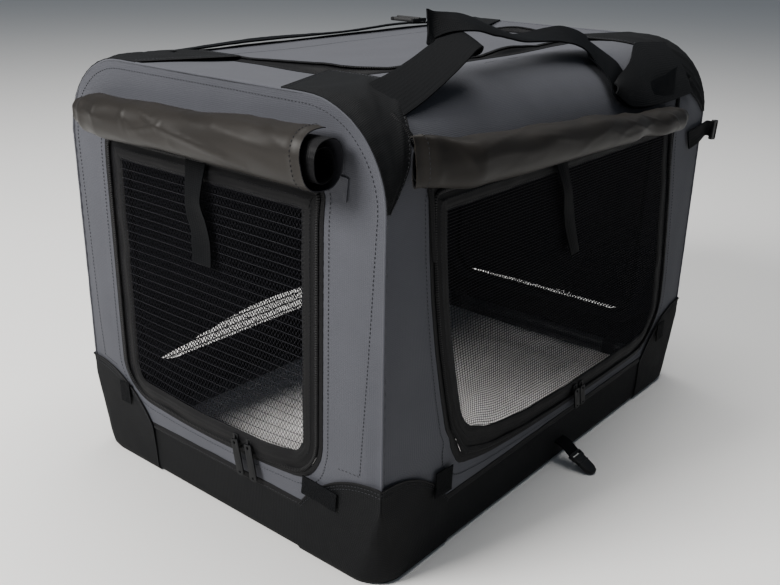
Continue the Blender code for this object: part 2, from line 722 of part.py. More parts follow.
def end_rotation():
    """Rotation that stands a plate in the plane of an end."""
    return math.radians(90), 0, math.radians(90)


def make_long_panels():
    """Long side cloth from the tray's rim over the shoulder to the roof panel."""
    profile = [(SHELL_Y, PANEL_FOOT)]
    profile += arc((SHOULDER_INNER, SHOULDER_FOOT), SHOULDER_RADIUS, 0, 90, 2 * ARC_STEPS)
    last = len(profile) - 1

    def point(u, v):
        y, z = profile[round(v * last)]
        return WRAP_END * (2 * u - 1), y, z

    for face in (FRONT, REAR):
        name = FACE_NAMES[face] + "_panel"
        mesh = grid_mesh(name, 1, last, point)
        mesh.transform(Matrix.Diagonal((1, face, 1, 1)))
        panel = add_part(name, mesh, "grey_fabric")
        shade_round(mesh)
        solidify(panel, FABRIC, 1 if face == REAR else -1)
        cut = plate_mesh(name, opening_outline(True, 0), [], CUT_DEPTH)
        location = (0, face * SHELL_Y, 0)
        combine(panel, add_cutter(name + "_opening", cut, location, long_rotation()), "DIFFERENCE")
        for side in (LEFT, RIGHT):
            label = "%s_foot_%s" % (name, SIDE_NAMES[side])
            disc = rod_mesh(label, GUARD_REACH - GUARD_OVERLAP, CUT_DEPTH, (0, 1, 0), DISC_SIDES)
            location = (side * SHELL_X, face * SHELL_Y, 0)
            combine(panel, add_cutter(label, disc, location), "DIFFERENCE")


def end_panel_outline():
    """Outline of an end panel: cut round the guards below, round shoulders above."""
    reach = GUARD_REACH - GUARD_OVERLAP
    foot_angle = math.degrees(math.asin(PANEL_FOOT / reach))
    right = arc((SHELL_Y, 0), reach, 180 - foot_angle, 90, 8)
    right += arc((SHOULDER_INNER, SHOULDER_FOOT), SHOULDER_RADIUS, 0, 90, 2 * ARC_STEPS)
    left = [(-y, z) for y, z in reversed(right)]
    return right + left


def make_end_panels():
    """End cloth panels with their openings."""
    for side in (LEFT, RIGHT):
        name = SIDE_NAMES[side] + "_panel"
        mesh = plate_mesh(name, end_panel_outline(), [opening_outline(False, 0)], FABRIC)
        location = (side * (SHELL_X - FABRIC / 2), 0, 0)
        add_part(name, mesh, "grey_fabric", location, end_rotation())


def net_holes(face_is_long, binding):
    """Square gaps of a net inside its sewn binding, leaving out those in the round corners."""
    columns = LONG_NET_COLUMNS if face_is_long else END_NET_COLUMNS
    rows = LONG_NET_ROWS if face_is_long else END_NET_ROWS
    width = (LONG_OPENING_WIDTH if face_is_long else END_OPENING_WIDTH) - 2 * binding
    bottom = (LONG_OPENING_BOTTOM if face_is_long else END_OPENING_BOTTOM) + binding
    radius = (LONG_OPENING_RADIUS if face_is_long else END_OPENING_RADIUS) - binding
    height = OPENING_TOP - binding - bottom
    pitch_x, pitch_z = width / columns, height / rows
    holes = []
    for column in range(columns):
        for row in range(rows):
            low_x = -width / 2 + column * pitch_x + NET_BAR / 2
            low_z = bottom + row * pitch_z + NET_BAR / 2
            high_x, high_z = low_x + pitch_x - NET_BAR, low_z + pitch_z - NET_BAR
            outer = max(abs(low_x), abs(high_x))
            over_x = outer - (width / 2 - radius)
            over_z = bottom + radius - low_z
            if over_x > 0 and over_z > 0 and math.hypot(over_x, over_z) > radius:
                continue
            holes.append([(low_x, low_z), (high_x, low_z), (high_x, high_z), (low_x, high_z)])
    return holes


def make_nets():
    """Mesh doors and windows, each hung on its upper edge in its opening."""
    for name, is_long, sign, axis in (
            ("front_door_net", True, FRONT, "front_door"), ("rear_window_net", True, REAR, None),
            ("left_door_net", False, LEFT, "left_door"), ("right_window_net", False, RIGHT, None)):
        outline = opening_outline(is_long, DOOR_CLEARANCE)
        holes = net_holes(is_long, DOOR_BINDING if axis else WINDOW_BINDING)
        mesh = plate_mesh(name, outline, holes, NET_THICKNESS)
        outer = NET_THICKNESS / 2 * (sign if is_long else -sign)
        mesh.transform(Matrix.Translation((0, -DOOR_HINGE_Z, outer)))
        if is_long:
            location, rotation = (0, sign * NET_FACE_Y, DOOR_HINGE_Z), long_rotation()
        else:
            location, rotation = (sign * NET_FACE_X, 0, DOOR_HINGE_Z), end_rotation()
        add_part(name, mesh, "mesh_net", location, rotation, axis)


def top_door_outline(inset):
    """Outline of the roof opening, drawn in by an inset."""
    half = TOP_DOOR_LENGTH / 2 - inset
    front = TOP_DOOR_RADIUS - inset
    rear = max(TOP_DOOR_REAR_RADIUS - inset, TOP_DOOR_REAR_RADIUS / 2)
    return rounded_outline((-half, TOP_DOOR_FRONT + inset), (half, TOP_DOOR_REAR - inset),
                           [front, front, rear, rear])


def make_roof_cloth():
    """Flat roof panel and the zipped flap in it, which opens on its rear edge."""
    half_y = SHOULDER_INNER - GAP
    outline = rounded_outline((-WRAP_END, -half_y), (WRAP_END, half_y), [GAP] * 4)
    mesh = plate_mesh("roof_panel", outline, [top_door_outline(0)], FABRIC)
    add_part("roof_panel", mesh, "grey_fabric", (0, 0, SHELL_Z - FABRIC / 2), axis="roof")
    mesh = plate_mesh("roof_door", top_door_outline(DOOR_CLEARANCE), [], FABRIC)
    hinge = TOP_DOOR_REAR - DOOR_CLEARANCE
    mesh.transform(Matrix.Translation((0, -hinge, -FABRIC / 2)))
    add_part("roof_door", mesh, "grey_fabric", (0, hinge, SHELL_Z), axis="roof_door")


def roll_mesh(name, length, phase):
    """Rolled flap along its own X axis: a one-turn spiral outline with soft lumps."""
    seam = math.radians(ROLL_SEAM_ANGLE)

    def point(u, v):
        along = length * (u - 0.5)
        turn = 2 * math.pi * v
        wave = math.sin(ROLL_LUMPS_ROUND * turn + ROLL_TWIST * u + phase)
        lump = ROLL_LUMP * wave * math.sin(ROLL_WAVES * u + phase)
        tuck = 1 - ROLL_TUCK_SHARE * (2 * abs(u - 0.5)) ** ROLL_TUCK_POWER
        climb = ROLL_STEP * v if v < 1 else 0
        radius = (ROLL_RADIUS + climb + lump) * tuck
        return along, radius * math.cos(turn + seam), radius * math.sin(turn + seam)

    bm = bmesh.new()
    bm.from_mesh(grid_mesh(name, ROLL_STATIONS, ROLL_SIDES, point))
    bmesh.ops.remove_doubles(bm, verts=bm.verts, dist=0.00001)
    bmesh.ops.holes_fill(bm, edges=[e for e in bm.edges if e.is_boundary], sides=0)
    mesh = finish_mesh(bm, name)
    shade_round(mesh, 60)
    return mesh


def make_rolls():
    """Door flaps rolled up above the front and the left door."""
    stand_off = ROLL_RADIUS + ROLL_STEP + ROLL_LUMP + GAP
    front = (LONG_ROLL_PLACE, FRONT * (SHELL_Y + stand_off), ROLL_HEIGHT)
    left = (LEFT * (SHELL_X + stand_off), END_ROLL_PLACE, ROLL_HEIGHT)
    for phase, name, length, location, turn in ((0, "front_flap_roll", LONG_ROLL_LENGTH, front, 0),
                                                (1, "left_flap_roll", END_ROLL_LENGTH, left, -90)):
        mesh = roll_mesh(name, length, phase)
        add_part(name, mesh, "flap_lining", location, (0, 0, math.radians(turn)))


def hanging_flap_mesh(name, half, foot, radius, folds):
    """Flap hung on its upper edge, with round lower corners and folds that grow towards its foot."""

    def point(u, v):
        along = half * (2 * u - 1)
        into_corner = max(0.0, abs(along) - (half - radius))
        low = foot + radius - math.sqrt(max(0.0, radius ** 2 - into_corner ** 2))
        low += FLAP_BOW * (1 - (along / half) ** 2)
        fold = (1 - math.cos(2 * math.pi * folds * u)) / 2
        return along, FLAP_FOLD * fold * (1 - v), (low - FLAP_TOP) * (1 - v)

    return grid_mesh(name, folds * FLAP_FOLD_STEPS, FLAP_ROWS, point)


def make_hanging_flaps():
    """Window flaps let down on the outside of the rear and the right net."""
    for name, axis, width, bottom, radius, folds, location, turn in (
            ("rear_window_flap", "rear_flap", LONG_OPENING_WIDTH, LONG_OPENING_BOTTOM, LONG_OPENING_RADIUS,
             LONG_FLAP_FOLDS, (0, REAR * FLAP_FACE_Y, FLAP_TOP), 0),
            ("right_window_flap", "right_flap", END_OPENING_WIDTH, END_OPENING_BOTTOM, END_OPENING_RADIUS,
             END_FLAP_FOLDS, (RIGHT * FLAP_FACE_X, 0, FLAP_TOP), -90)):
        mesh = hanging_flap_mesh(name, width / 2 + FLAP_MARGIN, bottom - FLAP_FOOT_DROP, radius, folds)
        flap = add_part(name, mesh, "grey_fabric", location, (0, 0, math.radians(turn)), axis)
        shade_round(mesh)
        solidify(flap, FABRIC, -1)


def shoulder_point(distance, lift):
    """Point of the cover's section, measured along the cloth from the foot of the shoulder."""
    radius = SHOULDER_RADIUS + lift
    quarter = SHOULDER_RADIUS * math.pi / 2
    if distance < 0:
        return SHELL_Y + lift, SHOULDER_FOOT + distance
    if distance > quarter:
        return SHOULDER_INNER - (distance - quarter), SHELL_Z + lift
    angle = distance / SHOULDER_RADIUS
    return SHOULDER_INNER + radius * math.cos(angle), SHOULDER_FOOT + radius * math.sin(angle)


def make_roof_patches():
    """Black patches over the four upper corners, with a tip down the long side."""
    quarter = SHOULDER_RADIUS * math.pi / 2
    start = PATCH_TIP_HEIGHT - SHOULDER_FOOT
    end = quarter + SHOULDER_INNER - PATCH_ROOF_EDGE

    def point(u, v):
        distance = start + (end - start) * v
        grow = min(1.0, v / PATCH_TIP_SHARE) ** PATCH_TIP_POWER
        flare = max(0, (v - PATCH_FLARE_SHARE) / (1 - PATCH_FLARE_SHARE))
        spread = PATCH_SIDE_WIDTH + (PATCH_ROOF_WIDTH - PATCH_SIDE_WIDTH) * flare
        width = max(spread * grow, OVERLAY)
        y, z = shoulder_point(distance, GAP)
        return SHELL_X - width * u, y, z

    for side in (LEFT, RIGHT):
        for face in (FRONT, REAR):
            name = "roof_patch_%s_%s" % (FACE_NAMES[face], SIDE_NAMES[side])
            mesh = grid_mesh(name, 3, 14, point)
            mesh.transform(Matrix.Diagonal((side, face, 1, 1)))
            patch = add_part(name, mesh, "black_fabric")
            shade_round(mesh)
            solidify(patch, OVERLAY, 1 if side == face else -1)


def handle_route():
    """Hand-laid route of a slack carry handle: along, up, and roll of the webbing in degrees."""
    sewn = HEIGHT + GAP + WEBBING / 2
    shares = [(-1, 0, 0), (-0.87, 0.03, 0), (-0.71, 0.32, 6), (-0.54, 0.74, 32),
              (-0.365, 1, 58), (-0.175, 0.91, 45), (0.03, 0.64, 18), (0.27, 0.58, 0),
              (0.51, 0.64, -4), (0.73, 0.34, 0), (0.87, 0.03, 0), (1, 0, 0)]
    return [(HANDLE_REACH * along, sewn + HANDLE_RISE * up, roll) for along, up, roll in shares]


def make_handles():
    """Slack carry handles of flat webbing over the front and the rear shoulder."""
    route = handle_route()
    last = len(route) - 1

    def point(u, v):
        along, up, roll = route[round(u * last)]
        across = HANDLE_WIDTH * (v - 0.5)
        turn = math.radians(roll)
        return along, across * math.cos(turn), up - HEIGHT + across * math.sin(turn)

    for face in (FRONT, REAR):
        name = FACE_NAMES[face] + "_handle"
        mesh = grid_mesh(name, last, 2, point)
        outer = HANDLE_WIDTH / 2
        mesh.transform(Matrix.Translation((0, outer, 0)))
        mesh.transform(Matrix.Diagonal((1, -face, 1, 1)))
        handle = add_part(name, mesh, "webbing", (0, face * (HANDLE_LINE + outer), HEIGHT), axis=name)
        solidify(handle, WEBBING, 0)


def make_tie_straps():
    """Webbing ties that hang on the outside of the two doors."""
    for name, is_long, sign, along, length in (
            ("front_tie_strap", True, FRONT, LONG_TIE_PLACE, LONG_TIE_LENGTH),
            ("left_tie_strap", False, LEFT, END_TIE_PLACE, END_TIE_LENGTH)):
        low = (-TIE_WIDTH / 2, -2 * GAP - WEBBING, -TIE_TOP_DROP - length)
        high = (TIE_WIDTH / 2, -2 * GAP, -TIE_TOP_DROP)
        mesh = box_mesh(name, low, high)
        if is_long:
            location, turn, axis = (along, sign * NET_FACE_Y, DOOR_HINGE_Z), 0, "front_door"
        else:
            location, turn, axis = (sign * NET_FACE_X, along, DOOR_HINGE_Z), -90, "left_door"
        add_part(name, mesh, "webbing", location, (0, 0, math.radians(turn)), axis)


def slider_mesh(name):
    """Zip slider with its pull hanging down, in front of its own XZ plane."""
    body = box_mesh(name, (-SLIDER_WIDTH / 2, -SLIDER_DEPTH, -SLIDER_HEIGHT / 2),
                    (SLIDER_WIDTH / 2, 0, SLIDER_HEIGHT / 2))
    pull = box_mesh(name + "_pull",
                    (-PULL_WIDTH / 2, -SLIDER_DEPTH - PULL_THICKNESS / 2, -PULL_LENGTH),
                    (PULL_WIDTH / 2, -SLIDER_DEPTH + PULL_THICKNESS / 2, SLIDER_HEIGHT / 3))
    return body, pull


def make_sliders():
    """Zip sliders at the foot of the two doors."""
    height = LONG_OPENING_BOTTOM + DOOR_BINDING / 2
    rows = [("front_door_slider", "front_door", (LONG_SLIDER_PLACE, FRONT * (NET_FACE_Y + GAP), height), 0)]
    height = END_OPENING_BOTTOM + DOOR_BINDING / 2
    for label, along in zip(("rear", "front"), END_SLIDER_PLACES):
        location = (LEFT * (NET_FACE_X + GAP), along, height)
        rows.append(("left_door_slider_" + label, "left_door", location, -90))
    for name, axis, location, turn in rows:
        rotation = (0, 0, math.radians(turn))
        body, pull = slider_mesh(name)
        slider = add_part(name, body, "black_zinc", location, rotation, axis)
        combine(slider, add_cutter(name + "_pull", pull, location, rotation), "UNION")


def make_closure():
    """Strap and buckle tongue that hold the crate shut when it is folded."""
    start = -(WIDTH / 2 + GAP)
    low = (CLOSURE_PLACE - CLOSURE_WIDTH / 2, start - CLOSURE_STRAP_LENGTH, -WEBBING / 2)
    high = (CLOSURE_PLACE + CLOSURE_WIDTH / 2, start, WEBBING / 2)
    name = "closure_strap"
    mesh = box_mesh(name, low, high)
    mesh.transform(Matrix.Translation((0, -start, 0)))
    slope = math.asin((CLOSURE_HEIGHT - BUCKLE_THICKNESS) / (CLOSURE_STRAP_LENGTH + BUCKLE_LENGTH))
    location = (0, start, CLOSURE_HEIGHT)
    add_part(name, mesh, "webbing", location, (slope, 0, 0), "closure")

    name = "closure_buckle"
    end = -CLOSURE_STRAP_LENGTH - GAP
    half = BUCKLE_THICKNESS / 2
    bar = box_mesh(name, (CLOSURE_PLACE - CLOSURE_WIDTH / 2, end - BUCKLE_BAR_LENGTH, -half),
                   (CLOSURE_PLACE + CLOSURE_WIDTH / 2, end, half))
    buckle = add_part(name, bar, "black_plastic", location, (slope, 0, 0), "closure")
    root = end - BUCKLE_BAR_LENGTH + PRONG_ROOT
    for label, across in (("left", -1), ("middle", 0), ("right", 1)):
        centre = CLOSURE_PLACE + across * (CLOSURE_WIDTH - PRONG_WIDTH) / 2
        prong = box_mesh(name, (centre - PRONG_WIDTH / 2, end - BUCKLE_LENGTH, -PRONG_THICKNESS / 2),
                         (centre + PRONG_WIDTH / 2, root, PRONG_THICKNESS / 2))
        cutter = add_cutter("%s_prong_%s" % (name, label), prong, location, (slope, 0, 0))
        combine(buckle, cutter, "UNION")


clear_scene()
PARTS = make_collection("dog_travel_crate")
CUTTERS = make_collection("cutters")
AXES = {}
make_axes()
make_base_tray()
make_corner_guards()
make_floor()
make_base_frame()
make_saddles()
make_lower_hoops()
make_upper_hoops()
make_knees()
make_spreaders()
make_long_panels()
make_end_panels()
make_nets()
make_roof_cloth()
make_rolls()
make_hanging_flaps()
make_roof_patches()
make_handles()
make_tie_straps()
make_sliders()
make_closure()
CUTTERS.hide_render = True
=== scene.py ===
"""Folding soft-sided dog travel crate: sewn cover, mesh doors, rolled flaps, webbing handles and a fleece mat.

Metres, +Z up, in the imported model's frame: the door end faces -X, the long door side -Y.
"""
import json
import math

import bmesh
import bpy
import numpy
from mathutils import Matrix, Vector, noise


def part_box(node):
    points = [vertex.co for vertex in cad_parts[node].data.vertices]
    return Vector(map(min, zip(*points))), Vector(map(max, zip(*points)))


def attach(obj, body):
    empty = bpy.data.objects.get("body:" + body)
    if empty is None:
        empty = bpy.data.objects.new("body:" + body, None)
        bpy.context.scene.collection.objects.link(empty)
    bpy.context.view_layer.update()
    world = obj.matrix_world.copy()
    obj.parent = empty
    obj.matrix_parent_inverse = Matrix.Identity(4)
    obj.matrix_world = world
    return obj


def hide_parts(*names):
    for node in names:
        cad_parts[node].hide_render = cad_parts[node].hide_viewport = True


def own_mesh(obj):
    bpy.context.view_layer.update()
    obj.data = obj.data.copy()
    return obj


bl_info = {
    "name": "Dog travel crate",
    "version": (1, 0, 0),
    "blender": (4, 5, 0),
    "location": "3D View > Sidebar > Travel crate",
    "description": "Builds a folding soft-sided dog crate over its packed frame",
    "category": "Object",
}

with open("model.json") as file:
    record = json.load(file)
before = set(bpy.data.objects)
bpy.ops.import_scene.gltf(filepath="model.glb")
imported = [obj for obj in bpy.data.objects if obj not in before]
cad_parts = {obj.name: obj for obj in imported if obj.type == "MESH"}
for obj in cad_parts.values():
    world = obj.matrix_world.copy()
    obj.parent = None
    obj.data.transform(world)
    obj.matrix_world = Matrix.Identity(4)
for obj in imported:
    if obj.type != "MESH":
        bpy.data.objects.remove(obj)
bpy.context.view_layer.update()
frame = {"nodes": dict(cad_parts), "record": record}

# Cloth planes and lines of the cover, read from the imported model
SHELL_X = -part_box("left_panel")[0][0]
SHELL_Y = -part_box("front_panel")[0][1]
SHELL_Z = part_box("roof_panel")[1][2]
WRAP_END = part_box("front_panel")[1][0]
PANEL_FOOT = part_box("front_panel")[0][2]
SHOULDER_INNER = -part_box("front_panel")[1][1]
SHOULDER_RADIUS = SHELL_Y - SHOULDER_INNER
SHOULDER_FOOT = SHELL_Z - SHOULDER_RADIUS
QUARTER = SHOULDER_RADIUS * math.pi / 2
CLIMB_TOP = SHOULDER_FOOT + QUARTER
OVERLAY_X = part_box("corner_guard_front_right")[1][0]
OVERLAY_Y = -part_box("corner_guard_front_left")[0][1]
GUARD_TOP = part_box("corner_guard_front_left")[1][2]
BAND_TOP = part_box("base_tray")[1][2]
NET_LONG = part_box("front_door_net")
NET_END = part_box("left_door_net")
ROOF_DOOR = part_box("roof_door")
MAT_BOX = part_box("floor_mat")

# Round corners and clearances of the openings, as cut in the model
LONG_RADIUS = 0.070
END_RADIUS = 0.048
TOP_RADIUS = 0.012
CORNER_RADIUS = 0.045
SHARP_HEIGHT = 0.115
TOP_DOOR_RADIUS = 0.085
GAP = 0.0003
WALLS = ("front", "rear", "left", "right")
# Each upright corner: way along X, way along Y, its long wall and its name
CORNERS = [(side, face, wall, "%s_%s" % (wall, end)) for side, end in ((-1, "left"), (1, "right"))
           for face, wall in ((-1, "front"), (1, "rear"))]
RISE = Vector((0, 0, 1))

# Radius of the wall cloths' cut under the corner guards, and pitch of the nets' knitted loops
UNDER_GUARD = 0.116
LOOP_PITCH = 0.0058

# Rows of stitches noted by the makers for each body and group, all sewn at the end
STITCHES = {}

# How the slack cloth draws the openings out of square, in metres. For each wall: the axis and way that it
# faces, where its zone starts, then tables over the height (pull of the first edge, of the second edge, lift)
# and along the wall (share of each of the three).
PULLS = {
    "front": (1, -1, 0.262,
              [(0.078, 0, 0, 0), (0.098, 0.035, 0, 0.032), (0.116, 0.050, 0.002, 0.034),
               (0.158, 0.053, 0.004, 0.024), (0.214, 0.040, 0.001, 0.008), (0.286, 0.023, -0.010, 0),
               (0.352, 0.010, -0.021, 0), (0.413, 0.002, -0.036, 0), (0.460, -0.002, -0.044, 0),
               (0.505, -0.003, -0.030, 0), (0.560, 0, 0, 0)],
              [(-0.387, 0, 0, 0), (-0.335, 0.9, 0, 0.7), (-0.319, 1, 0, 1), (-0.262, 0.8, 0, 1),
               (-0.200, 0.5, 0, 0.35), (-0.100, 0.15, 0, 0), (0, 0, 0, -0.15), (0.120, 0, 0.15, -0.22),
               (0.240, 0, 0.6, -0.2), (0.319, 0, 1, 0.2), (0.335, 0, 0.9, 0.2), (0.387, 0, 0, 0)]),
    "left": (0, -1, 0.385,
             [(0.080, 0, 0, 0), (0.105, 0.011, 0.003, 0.009), (0.140, 0.019, 0.007, 0.007),
              (0.220, 0.018, 0.008, 0.002), (0.300, 0.017, 0.008, 0), (0.450, 0.015, 0.008, 0),
              (0.500, 0.006, 0.003, 0), (0.540, 0, 0, 0)],
             [(-0.262, 0, 0, 0), (-0.198, 1, 0, 1.6), (-0.150, 0.8, 0, 0.6), (-0.090, 0.6, 0, -0.2),
              (0, 0.3, 0.1, -0.65), (0.060, 0.15, 0.3, -0.6), (0.110, 0, 0.5, -0.2), (0.150, 0, 0.75, 0.3),
              (0.198, 0, 1, 0.8), (0.262, 0, 0, 0)]),
    "rear": (1, 1, 0.262, [(0.076, 0, 0, 0), (0.098, 0, 0, -0.018), (0.120, 0, 0, -0.018), (0.240, 0, 0, 0)],
             [(-0.387, 0, 0, 0), (-0.310, 0, 0, 1), (0.310, 0, 0, 1), (0.387, 0, 0, 0)]),
    "right": (0, 1, 0.385, [(0.076, 0, 0, 0), (0.110, 0, 0, -0.027), (0.130, 0, 0, -0.026), (0.260, 0, 0, 0)],
              [(-0.262, 0, 0, 0), (-0.190, 0, 0, 1), (0.190, 0, 0, 1), (0.262, 0, 0, 0)])}


def linear(code):
    """Turn an sRGB hex colour to linear light."""
    channels = [int(code[i:i + 2], 16) / 255 for i in (1, 3, 5)]
    return tuple(c / 12.92 if c <= 0.04045 else ((c + 0.055) / 1.055) ** 2.4 for c in channels)


def length_property(label, text, default):
    """A size in metres that a user may change."""
    return bpy.props.FloatProperty(name=label, description=text, default=default, min=0.0, unit="LENGTH",
                                   precision=4)


def colour_property(label, text, code):
    """A colour that a user may change, given as an sRGB hex value."""
    return bpy.props.FloatVectorProperty(name=label, description=text, default=linear(code), min=0.0, max=1.0,
                                         size=3, subtype="COLOR")


class CrateSizes(bpy.types.PropertyGroup):
    """Sizes of the cover's sewn details."""
    cloth: length_property("Cloth thickness", "Thickness of the padded wall cloth", 0.0025)
    slack: length_property("Cloth slack", "How far the wall cloth swells off its plane", 0.0030)
    pucker: length_property("Seam pucker", "Height of the small ripples beside a seam", 0.0007)
    roof_sag: length_property("Roof sag", "How far the roof cloth sinks between the bars", 0.0060)
    mesh_across: length_property("Mesh pitch across", "Width of the nets' holes", 0.0058)
    mesh_up: length_property("Mesh pitch up", "Spacing of the rows in which the nets' holes lie", 0.0040)
    thread: length_property("Mesh thread", "Width of a thread bundle of the nets", 0.0009)
    door_binding: length_property("Door binding", "Width of the sewn band round the mesh doors", 0.027)
    window_binding: length_property("Window binding", "Width of the sewn band round the windows", 0.010)
    piping: length_property("Piping radius", "Radius of the piping on the end seams", 0.0018)
    stitch: length_property("Stitch length", "Length of one stitch", 0.0034)
    webbing: length_property("Webbing thickness", "Thickness of the carry handles", 0.0022)
    zip_tape: length_property("Zip tape width", "Width of each half of the roof zip's tape", 0.0110)
    zip_wave: length_property("Zip wave", "Height of the waves in the roof zip", 0.0080)
    mat_swell: length_property("Mat swell", "How far the fleece mat may swell when it is filled", 0.0050)


class CrateColours(bpy.types.PropertyGroup):
    """Colours of the crate's cloths and fittings."""
    oxford: colour_property("Grey cloth", "Grey polyester of the walls and roof", "#3D3E44")
    black: colour_property("Black cloth", "Black polyester of the base band and patches", "#08090B")
    satin: colour_property("Flap lining", "Coated lining that shows on the rolled flaps", "#1B1815")
    # The lining colour is partly painted shade: it keeps the inside of the crate and the rolls' hollows dark.
    lining: colour_property("Inner lining", "Dark inside of the walls", "#26262A")
    net: colour_property("Mesh", "Knitted mesh of the doors and windows", "#1A1A1F")
    # The pale colour of the level threads is a painted highlight: glints along their loops.
    level_glint: colour_property("Level threads", "Rubbed loops of the nets' level threads", "#D6D8DC")
    webbing: colour_property("Webbing", "Handles, ties and the closure strap", "#060709")
    binding: colour_property("Binding tape", "Tape round the doors and on the zips", "#070709")
    fleece: colour_property("Fleece", "Brushed pile of the mat", "#F0E6E6")
    board: colour_property("Hardboard", "Stiff floor board", "#5B5148")
    tube: colour_property("Tube paint", "Powder coat on the frame", "#3A3C3F")
    rivet: colour_property("Rivets", "Zinc-plated rivets", "#A6A8AA")
    plastic: colour_property("Moulded plastic", "Clips, buckles and sleeves", "#090A0C")
    thread: colour_property("Sewing thread", "Thread of the seams", "#26272B")
    floor: colour_property("Floor", "Studio floor", "#E0DFDD")


def sizes():
    """The sizes in use."""
    return bpy.context.scene.travel_crate_sizes


def colour(name):
    """A colour in use, with its alpha."""
    return (*getattr(bpy.context.scene.travel_crate_colours, name), 1.0)


# Finishes

def add_node(tree, kind, values=None, wires=None, **settings):
    """Add a node with its settings, socket values and links."""
    made = tree.nodes.new(kind)
    for name, value in settings.items():
        setattr(made, name, value)
    for socket, value in (values or {}).items():
        made.inputs[socket].default_value = value
    for socket, source in (wires or {}).items():
        tree.links.new(source, made.inputs[socket])
    return made


def start_finish(name, mapping, **values):
    """Start a material: the material, its shader and the coordinates that its pattern lies in."""
    made = bpy.data.materials.new(name)
    made.use_nodes = True
    shader = made.node_tree.nodes["Principled BSDF"]
    for socket, value in values.items():
        shader.inputs[socket.replace("_", " ")].default_value = value
    return made, shader, add_node(made.node_tree, "ShaderNodeTexCoord").outputs[mapping]


def mottle(place, scale, detail=2.0, roughness=0.5):
    """Noise from 0 to 1, at a scale per metre."""
    values = {"Scale": scale, "Detail": detail, "Roughness": roughness}
    return add_node(place.id_data, "ShaderNodeTexNoise", values, {"Vector": place}).outputs["Fac"]


def bands(place, spacing, way="X", distortion=0.0, detail_scale=1.0):
    """Bands that repeat at a spacing in metres."""
    values = {"Scale": math.pi / 10 / spacing, "Distortion": distortion, "Detail Scale": detail_scale}
    return add_node(place.id_data, "ShaderNodeTexWave", values, {"Vector": place},
                    bands_direction=way).outputs["Fac"]


def cells(place, scale):
    """Distance from the middles of scattered cells."""
    made = add_node(place.id_data, "ShaderNodeTexVoronoi", {"Scale": scale}, {"Vector": place})
    return made.outputs["Distance"]


def combine(operation, *terms):
    """Fields and numbers put through a math node; the first term is a field."""
    values = {k: term for k, term in enumerate(terms) if isinstance(term, float)}
    wires = {k: term for k, term in enumerate(terms) if k not in values}
    return add_node(terms[0].id_data, "ShaderNodeMath", values, wires, operation=operation).outputs[0]


def remap(field, **limits):
    """A field stretched between limits."""
    values = {name.replace("_", " "): value for name, value in limits.items()}
    return add_node(field.id_data, "ShaderNodeMapRange", values, {"Value": field}).outputs["Result"]


def blend_colours(shader, first, second, field):
    """Colour that goes from one to another with a field from 0 to 1."""
    mixed = add_node(shader.id_data, "ShaderNodeMix", {6: first, 7: second}, {0: field}, data_type="RGBA")
    shader.id_data.links.new(mixed.outputs[2], shader.inputs["Base Color"])


def vary(shader, base, field, spread):
    """Let the colour drift lighter and darker with a field from 0 to 1."""
    dark = [c * (1 - spread) for c in base[:3]] + [1.0]
    light = [min(1.0, c * (1 + spread)) for c in base[:3]] + [1.0]
    blend_colours(shader, dark, light, field)


def raise_surface(shader, height, strength, depth):
    """Bump the surface by a height field."""
    values = {"Strength": strength, "Distance": depth}
    bump = add_node(shader.id_data, "ShaderNodeBump", values, {"Height": height})
    shader.id_data.links.new(bump.outputs["Normal"], shader.inputs["Normal"])


def woven(name, base, spacing, rib, strength, spread, **values):
    """Plain-woven or ribbed cloth: threads at a spacing, ribs that may be wider one way, uneven dye."""
    made, shader, place = start_finish(name, "UV", **values)
    threads = combine("MULTIPLY", bands(place, spacing, "X", 0.6, 2.0),
                      bands(place, spacing * rib, "Y", 0.6, 2.0))
    solid = add_node(made.node_tree, "ShaderNodeTexCoord").outputs["Object"]
    slub = mottle(place, 420.0)
    dye = combine("MULTIPLY_ADD", slub, 0.45, mottle(solid, 14.0, 6.0, 0.62))
    vary(shader, base, combine("SUBTRACT", dye, 0.22), spread)
    raise_surface(shader, combine("MULTIPLY_ADD", slub, 0.7, threads), strength, spacing * 0.28)
    return made


def grey_oxford():
    # 600-denier polyester, woven and dyed grey: a dull even cloth with a faint grain and soft mottling.
    # Its threads lie 0.6 mm apart, too fine for the picture, so the weave is drawn at 2.2 mm.
    return woven("grey_oxford_woven", colour("oxford"), 0.0022, 1.0, 0.34, 0.13, Roughness=0.80,
                 Specular_IOR_Level=0.30, Sheen_Weight=0.04, Sheen_Roughness=0.5)


def black_oxford():
    # The same cloth dyed black with a coated back, heavier: deeper threads and a slight dusty bloom.
    # The 0.9 mm basket weave is drawn at 2.6 mm.
    return woven("black_oxford_woven", colour("black"), 0.0026, 1.0, 0.55, 0.22, Roughness=0.75,
                 Specular_IOR_Level=0.14)


def lining_and_painted_shade():
    # Thin dark polyester on the inside: nearly black and quite dull. Its darkness is partly painted shade,
    # which keeps the inside of the crate and the hollows of the rolled flaps dark.
    return woven("lining_and_painted_shade_woven", colour("lining"), 0.0022, 1.0, 0.20, 0.10, Roughness=0.9,
                 Specular_IOR_Level=0.10)


def polypropylene_webbing():
    # Polypropylene webbing in a herringbone weave: cross ribs with a dull gloss on their crowns.
    # Ribs are 1.1 mm apart on the real strap and drawn at 2.4 mm.
    return woven("polypropylene_webbing", colour("webbing"), 0.0024, 1.9, 0.40, 0.25, Roughness=0.66,
                 Specular_IOR_Level=0.06)


def grosgrain_tape():
    # Grosgrain polyester tape: fine cross ribs and a low sheen. Ribs of 0.8 mm are drawn at 2.0 mm.
    return woven("grosgrain_tape", colour("binding"), 0.0020, 3.0, 0.55, 0.22, Roughness=0.60,
                 Specular_IOR_Level=0.14)


